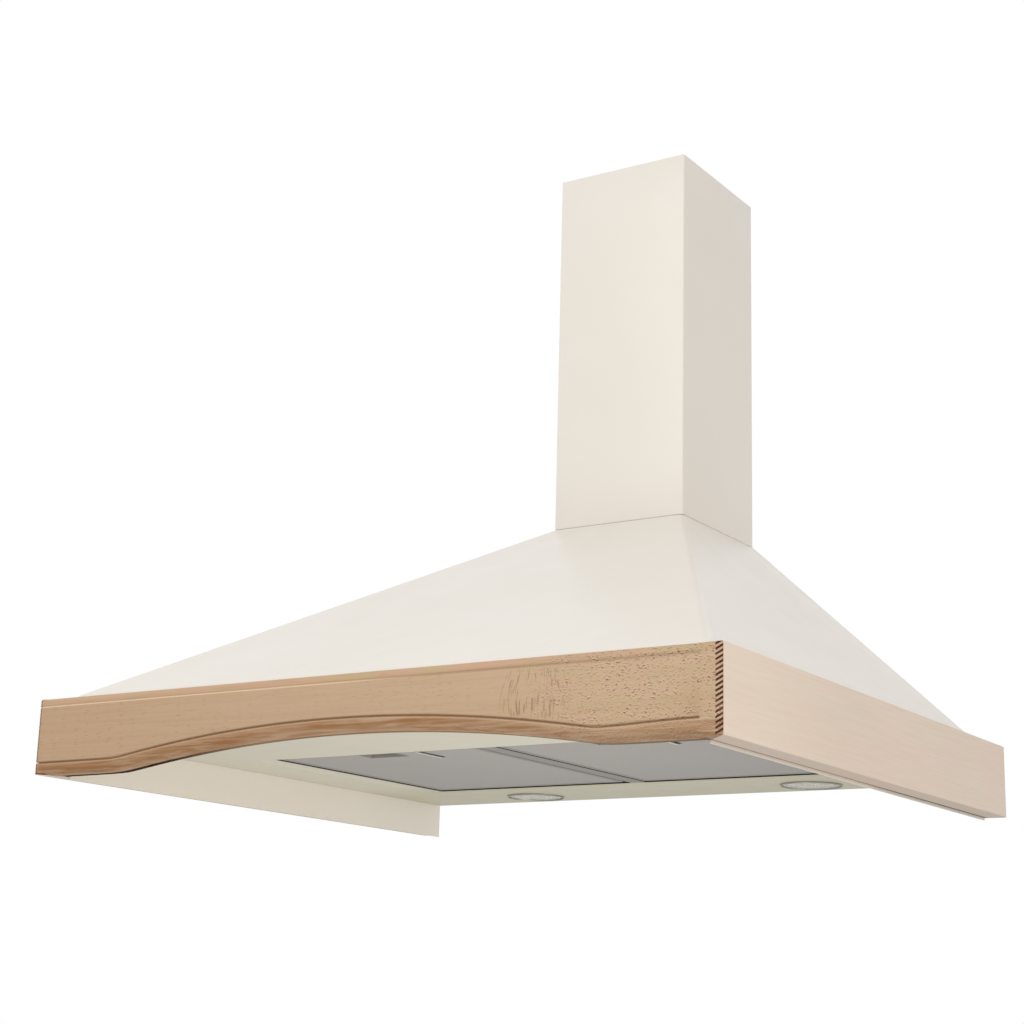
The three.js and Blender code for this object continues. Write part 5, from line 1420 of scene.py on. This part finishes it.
class HOOD_OT_covers(bpy.types.Operator):
    """Folds the two chimney covers"""

    bl_idname = "hood.covers"
    bl_label = "Chimney covers"

    wall_return = 10 * MM
    bays = 6  # the sheet is cut across into bays, so that long faces shade evenly

    def execute(self, context):
        sizes = context.scene.hood_sizes
        self.cover("lower_cover_sheet", "chimney_cover_lower", "hood_body", sizes)
        self.cover("upper_cover_sheet", "chimney_cover_upper", "upper_cover", sizes)
        return {"FINISHED"}

    def cover(self, name, node, body, sizes):
        """Front, sides and two returns along the wall, from one sheet."""
        low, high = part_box(node)
        low.z -= 0.2 * MM
        piece = block(name, low, high)
        with shaping(piece):
            remove_faces(lambda place, way: upright(way) or way.y > ALIGNED)
            for sign in SIDES.values():
                pick("EDGE", lambda place, way: near(place.y, high.y) and place.x * sign > 0 and upright(way))
                inward = (-sign * self.wall_return, 0, 0)
                bpy.ops.mesh.extrude_edges_move(TRANSFORM_OT_translate={"value": inward})
            pick("EDGE", lambda place, way: upright(way) and abs(place.x) > high.x - 1 * MM)
            round_off(sizes.fold_radius, 5)
            bpy.ops.mesh.select_all(action="SELECT")
            bpy.ops.mesh.normals_make_consistent(inside=False)
        with shaping(piece):
            slice_at(2, *[low.z + (high.z - low.z) * i / self.bays for i in range(1, self.bays)])
        if any(near(f.center.y, low.y) and f.normal.y > 0.5 for f in piece.data.polygons):
            with shaping(piece):
                bpy.ops.mesh.select_all(action="SELECT")
                bpy.ops.mesh.flip_normals()
        thicken(piece, sizes.sheet)
        arris(piece, 0.2 * MM, 2, 60)
        smooth(piece, 40)
        place_piece(coat(piece, "Cream paint"), body, "cream_paint", node)


class HOOD_OT_pan(bpy.types.Operator):
    """Presses the sheet that closes the underside, and makes the bar between the filters"""

    bl_idname = "hood.pan"
    bl_label = "Underside pan"

    seat_ahead, seat_behind = 6 * MM, 14.3 * MM  # the pressed seat passes the filters by this much
    open_beside, open_ahead, open_behind = 1.9 * MM, 1.2 * MM, 12.0 * MM  # and the opening by this much
    bar_inset = 1.3 * MM
    seat_round = 0.9 * MM
    lamp_hole = 24.8 * MM
    button_margin = 9 * MM, 4.5 * MM, 0
    bar_wall = 1.2 * MM

    def execute(self, context):
        sizes = context.scene.hood_sizes
        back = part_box("left_filter_mesh")[1].y
        filter_front, filter_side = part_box("left_filter_frame")[0].y, -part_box("left_filter_frame")[0].x
        seat_half = filter_side + sizes.seat_side
        seat_front, seat_back = filter_front - self.seat_ahead, back + self.seat_behind
        open_half = filter_side + self.open_beside
        open_front, open_back = filter_front - self.open_ahead, back + self.open_behind
        bar_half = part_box("filter_crossbar")[1].x - self.bar_inset

        def seat(place, way):
            return way.z < -ALIGNED and abs(place.x) < seat_half and seat_front < place.y < seat_back

        def opening(place, way):
            return way.z < -ALIGNED and abs(place.x) < open_half and open_front < place.y < open_back

        # The faces that take painted shade in the gap round the filters: the opening's edges and a strip
        # beside them.
        def opening_shade(place, way):
            within = open_front - 0.2 * MM < place.y < open_back + 0.2 * MM
            return within and bar_half < abs(place.x) < open_half + self.open_beside

        piece = block("underside_sheet", PAN_LOW, PAN_HIGH)
        with shaping(piece):
            remove_faces(lambda place, way: way.z > ALIGNED)
            slice_at(0, -seat_half, seat_half)
            slice_at(1, seat_front, seat_back)
            pick("FACE", seat)
            bpy.ops.mesh.inset(thickness=1.0 * MM, use_even_offset=True)
            bpy.ops.transform.translate(value=(0, 0, sizes.seat_step))
            pick_sharp(20)
            round_off(self.seat_round)
            slice_at(0, -open_half, open_half)
            slice_at(1, open_front, open_back)
            remove_faces(opening)
            slice_at(0, -open_half - self.open_beside, open_half + self.open_beside, -bar_half, bar_half)
        thicken(piece, sizes.sheet, even=False)
        for side in SIDES:
            centre = middle_of(f"{side}_lamp_ring")
            drill(piece, self.lamp_hole, (centre.x, centre.y, PAN_LOW.z))
        slot_low, slot_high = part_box("switch_block")
        margin = Vector(self.button_margin)
        slot_low, slot_high = slot_low + margin, slot_high - margin
        slot_low.z, slot_high.z = PAN_LOW.z - 5 * MM, PAN_LOW.z + 5 * MM
        cut_with(piece, block("slot", slot_low, slot_high))
        smooth_sheet(piece)
        place_piece(coat(piece, "Underside paint", "Slot shade"), "hood_body", "pan_paint", "bottom_pan")
        # Painted shade in the gap round the filters.
        recoat(piece, 1, opening_shade)
        self.crossbar(bar_half)
        return {"FINISHED"}

    def crossbar(self, half):
        """The bar between the filters, a channel whose flanks inside the gaps are dark with painted shade."""
        low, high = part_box("filter_crossbar")
        low.x, high.x = -half, half
        bar = block("filter_bar", low, high)
        through = 1 * MM
        room_low = low + Vector((self.bar_wall, -through, self.bar_wall))
        room_high = high + Vector((-self.bar_wall, through, through))
        cut_with(bar, block("room", room_low, room_high))
        arris(bar, 0.5 * MM, 3)
        smooth_sheet(bar)
        coat(bar, "Filter frame aluminium", "Slot shade")
        place_piece(bar, "hood_body", "zinc_steel", "filter_crossbar")
        # Painted shade on the flanks, inside the gaps.
        recoat(bar, 1, lambda place, way: abs(way.x) > 0.95)


class HOOD_OT_filters(bpy.types.Operator):
    """Folds the two grease filters and finishes their latches"""

    bl_idname = "hood.filters"
    bl_label = "Grease filters"

    rail = 4.4 * MM  # width of the frame's rails
    overlap = 0.3 * MM  # the mesh reaches this far under the rails
    past_mesh = 5.3 * MM  # the visual frame ends this far behind the construction mesh
    slot_shift, slot_end = 43 * MM, 41 * MM  # the guide slot's place beside the middle, and its rear end
    slot_half = 1.5 * MM
    cup_front = 4.5 * MM
    cup_half, cup_length, cup_wall = 18 * MM, 18.5 * MM, 1.2 * MM
    tongue_shift, tongue_half = 60 * MM, 12 * MM
    through = 1 * MM  # cutters pass the piece by this much

    def execute(self, context):
        low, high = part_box("left_filter_frame")
        tongue_end = high.y
        high.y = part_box("left_filter_mesh")[1].y + self.past_mesh
        pieces = {"frame": self.frame(low, high, tongue_end), "mesh": self.pack(low, high)}
        step = (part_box("right_filter_frame")[0].x - low.x, 0, 0)
        for kind, piece in pieces.items():
            sides = {"left": piece, "right": twin(piece, f"filter_{kind}_right", step)}
            for side, copy in sides.items():
                place_piece(copy, f"{side}_filter", "filter_aluminium", f"{side}_filter_{kind}")
        for side in SIDES:
            dress(f"{side}_filter_latch", "Grey plastic", 0.5 * MM, 3)
        return {"FINISHED"}

    def frame(self, low, high, tongue_end):
        """A folded channel with mitred corners, a cup for the latch, a slot lip and the hinge tongues."""
        middle = (low.x + high.x) / 2
        slot_at = middle + self.slot_shift
        piece = block("filter_frame_left", low, high)
        inside = Vector((self.rail, self.rail, -self.through))
        cut_with(piece, block("window", low + inside, high - inside))
        with shaping(piece):
            pick("EDGE", lambda place, way: upright(way) and near(abs(place.x - middle), high.x - middle))
            round_off(2.0 * MM, 4)
        arris(piece, 0.6 * MM, 3)
        self.mitre_seams(piece, low, high)
        cup = self.cup(low, high, middle)
        lip_low = (slot_at - 3.3 * MM, low.y + 3 * MM, low.z - 0.7 * MM)
        lip_high = (slot_at - 1.4 * MM, low.y + self.slot_end, low.z + 1.5 * MM)
        lip = arris(block("lip", lip_low, lip_high), 0.4 * MM)
        tongues = []
        for side in SIDES.values():
            centre = middle + side * self.tongue_shift
            tongue_low = (centre - self.tongue_half, high.y - self.through, low.z + 1.1 * MM)
            tongue_high = (centre + self.tongue_half, tongue_end, low.z + 2.5 * MM)
            tongues.append(arris(block("tongue", tongue_low, tongue_high), 0.3 * MM))
        join(piece, cup, lip, *tongues)
        smooth_sheet(piece)
        coat(piece, "Filter frame aluminium", "Lip highlight")
        # A painted highlight along the underside of the slot's lip.
        recoat(piece, 1, lambda place, way: abs(place.x - slot_at) < 3.6 * MM and place.z < low.z - 0.05 * MM)
        return piece

    def mitre_seams(self, piece, low, high):
        """Fine lines across the four corners, where the rails meet."""
        length, half, depth = 7 * MM, 0.15 * MM, 0.3 * MM
        for x, y, turn in ((low.x, low.y, 1), (high.x, low.y, -1), (low.x, high.y, -1), (high.x, high.y, 1)):
            seam = block("seam", (-length, -half, low.z - self.through), (length, half, low.z + depth))
            seam.rotation_euler = (0, 0, turn * math.pi / 4)
            seam.location = (x, y, 0)
            cut_with(piece, settle(seam))

    def cup(self, low, high, middle):
        """The dish that the latch slides in."""
        front, wall = low.y + self.cup_front, self.cup_wall
        back = front + self.cup_length
        cup_low = (middle - self.cup_half - wall, front - 0.5 * MM, low.z)
        cup_high = (middle + self.cup_half + wall, back + wall, high.z - 1 * MM)
        hollow_low = (middle - self.cup_half, front, low.z - self.through)
        hollow_high = (middle + self.cup_half, back, high.z - 1 * MM - wall)
        cup = block("cup", cup_low, cup_high)
        return arris(cut_with(cup, block("hollow", hollow_low, hollow_high)), 0.4 * MM)

    def pack(self, low, high):
        """The stack of expanded mesh, with room for the cup and a pressed guide slot."""
        middle, rail = (low.x + high.x) / 2, self.rail - self.overlap
        slot_at = middle + self.slot_shift
        pack_low = low + Vector((rail, rail, 0.35 * MM))
        pack_high = high - Vector((rail, rail, 0.7 * MM))
        piece = block("filter_mesh_left", pack_low, pack_high)
        play, room_end = 0.3 * MM, low.y + 24.6 * MM
        room_half = self.cup_half + self.cup_wall + play
        room_low = (middle - room_half, low.y, low.z - self.through)
        cut_with(piece, block("room", room_low, (middle + room_half, room_end, high.z + self.through)))
        slot_low = (slot_at - self.slot_half, low.y, low.z - self.through)
        slot_high = (slot_at + self.slot_half, low.y + self.slot_end, low.z + 1.9 * MM)
        cut_with(piece, block("slot", slot_low, slot_high))
        arris(piece, 0.25 * MM)
        smooth_sheet(piece)
        coat(piece, "Filter mesh", "Slot shade")
        # Painted shade on the guide slot's floor and walls.
        slot_back = low.y + self.slot_end + 0.1 * MM
        recoat(piece, 1, lambda place, way: abs(place.x - slot_at) < 1.6 * MM and place.y < slot_back)
        return piece


class HOOD_OT_lamps(bpy.types.Operator):
    """Turns the two recessed lamps"""

    bl_idname = "hood.lamps"
    bl_label = "Lamps"

    # Outlines are (radius, height) points in millimetres, from the pan's underside.
    rim = (25.6, -0.5), (25.75, -1.2), (26.2, -1.55), (26.7, -1.5), (27.0, -1.1), (27.0, -0.1), (24.5, -0.1)
    clips = (24.5, 5.0), (24.8, 5.6), (24.5, 6.2)
    barrel = (24.5, 12.0), (23.6, 12.0), (23.6, 1.0), (25.6, 0.4), (25.6, -0.5)
    glass_edge = (25.4, -0.35), (25.4, 0.35), (23.2, 0.7), (23.2, 2.4), (0, 2.4)
    capsule_end = (0, 8.6), (1.6, 8.8), (3.0, 9.6), (4.0, 11.0), (4.4, 12.8)
    capsule_foot = (4.4, 17.0), (3.6, 18.6), (2.6, 19.4), (0, 19.5)
    holder_cup = (0, 21.8), (4.8, 21.8), (4.8, 21.2), (8.4, 21.2), (9.0, 21.8), (9.0, 32.9), (8.2, 33.6)
    wire_well = (3.0, 33.6), (3.0, 30.0), (0, 30.0)

    def execute(self, context):
        kinds = {
            "ring": (self.ring(), "Lamp ring metal", "cream_paint"),
            "glass": (self.glass(), "Lamp glass", "clear_glass"),
            "reflector": (self.reflector(), "Lamp mirror", "lamp_mirror"),
            "bulb": (self.bulb(), "Bulb glass", "clear_glass"),
            "holder": (self.holder(), "Lamp ceramic", "lamp_ceramic"),
        }
        for kind, (piece, finish, slot) in kinds.items():
            pieces = {"left": piece, "right": twin(piece, f"lamp_{kind}_right")}
            for side, copy in pieces.items():
                middle = middle_of(f"{side}_lamp_ring")
                copy.location = (middle.x, middle.y, PAN_LOW.z)
                place_piece(coat(settle(copy), finish), "hood_body", slot, f"{side}_lamp_{kind}")
        return {"FINISHED"}

    def ring(self):
        """A thin rim with the barrel that clips into the pan."""
        return smooth(turned("lamp_ring_left", [*self.rim, *self.clips, *self.barrel], 96), 30)

    def glass(self):
        """A domed cover with pressed rings."""
        lowest, dome_depth, dome_radius = -1.15, 0.75, 25.4
        ring_half, ring_depth = 1.1, 0.32
        dome = [(0, lowest)]
        for radius in (6, 10, 14, 18, 22):
            height = lowest + dome_depth * (radius / dome_radius) ** 2
            crest = (radius, height + ring_depth)
            dome += [(radius - ring_half, height), crest, (radius + ring_half, height)]
        return smooth(turned("lamp_glass_left", [*dome, *self.glass_edge], 96), 40)

    def reflector(self):
        """A fluted dish."""
        rows, flutes, flute_depth = 8, 36, 0.965
        dish = []
        for row in range(rows + 1):
            share = row / rows
            dish.append((max(23.1 - 16.9 * share * share, 6.3), 2.9 + 17.6 * share))
        back = [(radius + 0.7, height + 0.5) for radius, height in reversed(dish)]
        piece = turned("lamp_reflector_left", [*dish, *back, dish[0]], 2 * flutes)

        def in_flute(place, way):
            spoke = round(math.atan2(place.y, place.x) * flutes / math.pi)
            return 3 * MM < place.z < 20 * MM and spoke % 2 == 0

        with shaping(piece):
            pick("VERT", in_flute)
            bpy.ops.transform.resize(value=(flute_depth, flute_depth, 1), center_override=(0, 0, 0))
        return piece

    def bulb(self):
        """A capsule with its pinched foot."""
        piece = turned("lamp_bulb_left", [*self.capsule_end, *self.capsule_foot], 40)
        foot = block("foot", (-3.4 * MM, -1.3 * MM, 19.2 * MM), (3.4 * MM, 1.3 * MM, 21.4 * MM))
        return smooth(join(piece, arris(foot, 0.5 * MM)), 50)

    def holder(self):
        """A ceramic cup with two flats and a wire well."""
        piece = turned("lamp_holder_left", [*self.holder_cup, *self.wire_well], 48)
        for sign in (-1, 1):
            near_side, far_side = sorted((sign * 7.4 * MM, sign * 12 * MM))
            cut_with(piece, block("flat", (-12 * MM, near_side, 26 * MM), (12 * MM, far_side, 36 * MM)))
        return smooth(arris(piece, 0.25 * MM), 40)


class HOOD_OT_controls(bpy.types.Operator):
    """Finishes the push buttons, their bezel and the switch block"""

    bl_idname = "hood.controls"
    bl_label = "Controls"

    def execute(self, context):
        dress("control_bezel", "White plastic", 0.5 * MM, 3)
        dress("switch_block", "Dark plastic", 0.8 * MM)
        for button in ("light", "off", "low", "medium", "high"):
            dress(f"{button}_button", "White plastic", 0.9 * MM, 3)
        return {"FINISHED"}


class HOOD_OT_outlet(bpy.types.Operator):
    """Finishes the duct collar and its flaps"""

    bl_idname = "hood.outlet"
    bl_label = "Duct outlet"

    def execute(self, context):
        dress("outlet_collar", "Dark plastic", 0.5 * MM)
        for flap in ("front_flap", "rear_flap"):
            dress(flap, "Grey plastic")
        dress("flap_pin", "Screw steel", 0.2 * MM)
        return {"FINISHED"}


class HOOD_OT_blower(bpy.types.Operator):
    """Finishes the blower"""

    bl_idname = "hood.blower"
    bl_label = "Blower"

    def execute(self, context):
        for half in ("left", "right"):
            dress(f"blower_housing_{half}", "Dark plastic", 0.6 * MM, degrees=40)
        dress("impeller", "Grey plastic", 0.25 * MM, 1, 50)
        dress("rotor_shaft", "Screw steel")
        dress("shaft_nut", "Screw steel", 0.4 * MM)
        dress("motor", "Zinc sheet", 1.0 * MM, 3, 50)
        dress("motor_spider", "Zinc sheet", 0.4 * MM)
        return {"FINISHED"}


class HOOD_OT_electrics(bpy.types.Operator):
    """Finishes the capacitor, the lamp transformer and the terminal box"""

    bl_idname = "hood.electrics"
    bl_label = "Electrics"

    def execute(self, context):
        dress("capacitor", "White plastic", 0.8 * MM, 3, 40)
        dress("lamp_transformer", "White plastic", 1.0 * MM, 3)
        dress("terminal_box", "Grey plastic", 0.8 * MM, 3)
        dress("terminal_box_lid", "Grey plastic", 0.5 * MM)
        dress("cable_gland", "Dark plastic", 0.4 * MM, degrees=40)
        return {"FINISHED"}


class HOOD_OT_mounting(bpy.types.Operator):
    """Finishes the back plate and the ceiling bracket"""

    bl_idname = "hood.mounting"
    bl_label = "Back plate and bracket"

    def execute(self, context):
        dress("back_plate", "Zinc sheet", 0.25 * MM)
        dress("ceiling_bracket", "Zinc sheet", 0.4 * MM)
        return {"FINISHED"}


class HOOD_OT_screws(bpy.types.Operator):
    """Turns one cross-headed screw and sets a copy in the place of each"""

    bl_idname = "hood.screws"
    bl_label = "Screws"

    # Outlines are (radius, height) points in millimetres.
    head = (0, 0.05), (1.6, 0.0), (2.8, 0.35), (3.6, 0.95), (4.0, 1.7), (4.0, 2.0), (1.4, 2.0)
    point = (1.2, 17.0), (0.2, 18.9), (0, 18.95)
    thread_turns, thread_pitch = 11, 1.25
    slot_half = 2.1 * MM, 0.38 * MM
    slot_depth = 1.25 * MM

    def execute(self, context):
        pattern = self.pattern()
        for node in [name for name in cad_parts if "screw" in name]:
            low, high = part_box(node)
            middle = (low + high) / 2
            copy = twin(pattern, f"cross_{node}")
            if node.startswith("blower"):
                copy.rotation_euler, copy.location = (math.pi, 0, 0), (middle.x, middle.y, high.z)
            elif node.startswith("front"):
                copy.rotation_euler, copy.location = (math.pi / 2, 0, 0), (middle.x, high.y, middle.z)
            else:
                sign = 1 if middle.x > 0 else -1
                copy.rotation_euler = (0, sign * math.pi / 2, 0)
                copy.location = (low.x if sign > 0 else high.x, middle.y, middle.z)
            place_piece(coat(settle(copy), "Screw steel"), "hood_body", "screw_steel", node)
        bpy.data.objects.remove(pattern)
        return {"FINISHED"}

    def pattern(self):
        """A pan-headed screw that points up from its head, which starts at height 0."""
        thread = []
        for turn in range(self.thread_turns):
            start = 2.5 + self.thread_pitch * turn
            thread += [(1.35, start), (1.75, start + 0.45), (1.35, start + 0.9)]
        piece = turned("pattern", [*self.head, *thread, *self.point], 24)
        half_length, half_width = self.slot_half
        for turn in (0, math.pi / 2):
            slot_low = (-half_length, -half_width, -1 * MM)
            slot = block("slot", slot_low, (half_length, half_width, self.slot_depth))
            with shaping(slot):
                pick("VERT", lambda place, way: place.z > 0)
                bpy.ops.transform.resize(value=(0.45, 0.7, 1), center_override=(0, 0, self.slot_depth))
            slot.rotation_euler = (0, 0, turn)
            cut_with(piece, settle(slot))
        return smooth(piece, 30)


# ---------------------------------------------------------------- panel and registration


OPERATORS = (
    HOOD_OT_stage,
    HOOD_OT_boards,
    HOOD_OT_canopy,
    HOOD_OT_covers,
    HOOD_OT_pan,
    HOOD_OT_filters,
    HOOD_OT_lamps,
    HOOD_OT_controls,
    HOOD_OT_outlet,
    HOOD_OT_blower,
    HOOD_OT_electrics,
    HOOD_OT_mounting,
    HOOD_OT_screws,
)


class HOOD_PT_pieces(bpy.types.Panel):
    """Lists what builds the hood, with its sizes and colours"""

    bl_label = "Chimney hood"
    bl_idname = "HOOD_PT_pieces"
    bl_space_type = "VIEW_3D"
    bl_region_type = "UI"
    bl_category = "Chimney hood"

    def draw(self, context):
        for operator in OPERATORS:
            self.layout.operator(operator.bl_idname)
        for settings in (context.scene.hood_sizes, context.scene.hood_colours, context.scene.hood_studio):
            box = self.layout.box()
            for name in settings.bl_rna.properties.keys():
                if name not in ("rna_type", "name"):
                    box.prop(settings, name)


SETTINGS = {"hood_sizes": HoodSizes, "hood_colours": HoodColours, "hood_studio": HoodStudio}
CLASSES = (*SETTINGS.values(), *OPERATORS, HOOD_PT_pieces)


def register():
    for cls in CLASSES:
        bpy.utils.register_class(cls)
    for name, group in SETTINGS.items():
        setattr(bpy.types.Scene, name, PointerProperty(type=group))


def unregister():
    for name in SETTINGS:
        delattr(bpy.types.Scene, name)
    for cls in reversed(CLASSES):
        bpy.utils.unregister_class(cls)


def main():
    register()
    for operator in OPERATORS:
        getattr(bpy.ops.hood, operator.bl_idname.removeprefix("hood."))()
    bpy.ops.object.select_all(action="DESELECT")


if __name__ == "__main__":
    main()
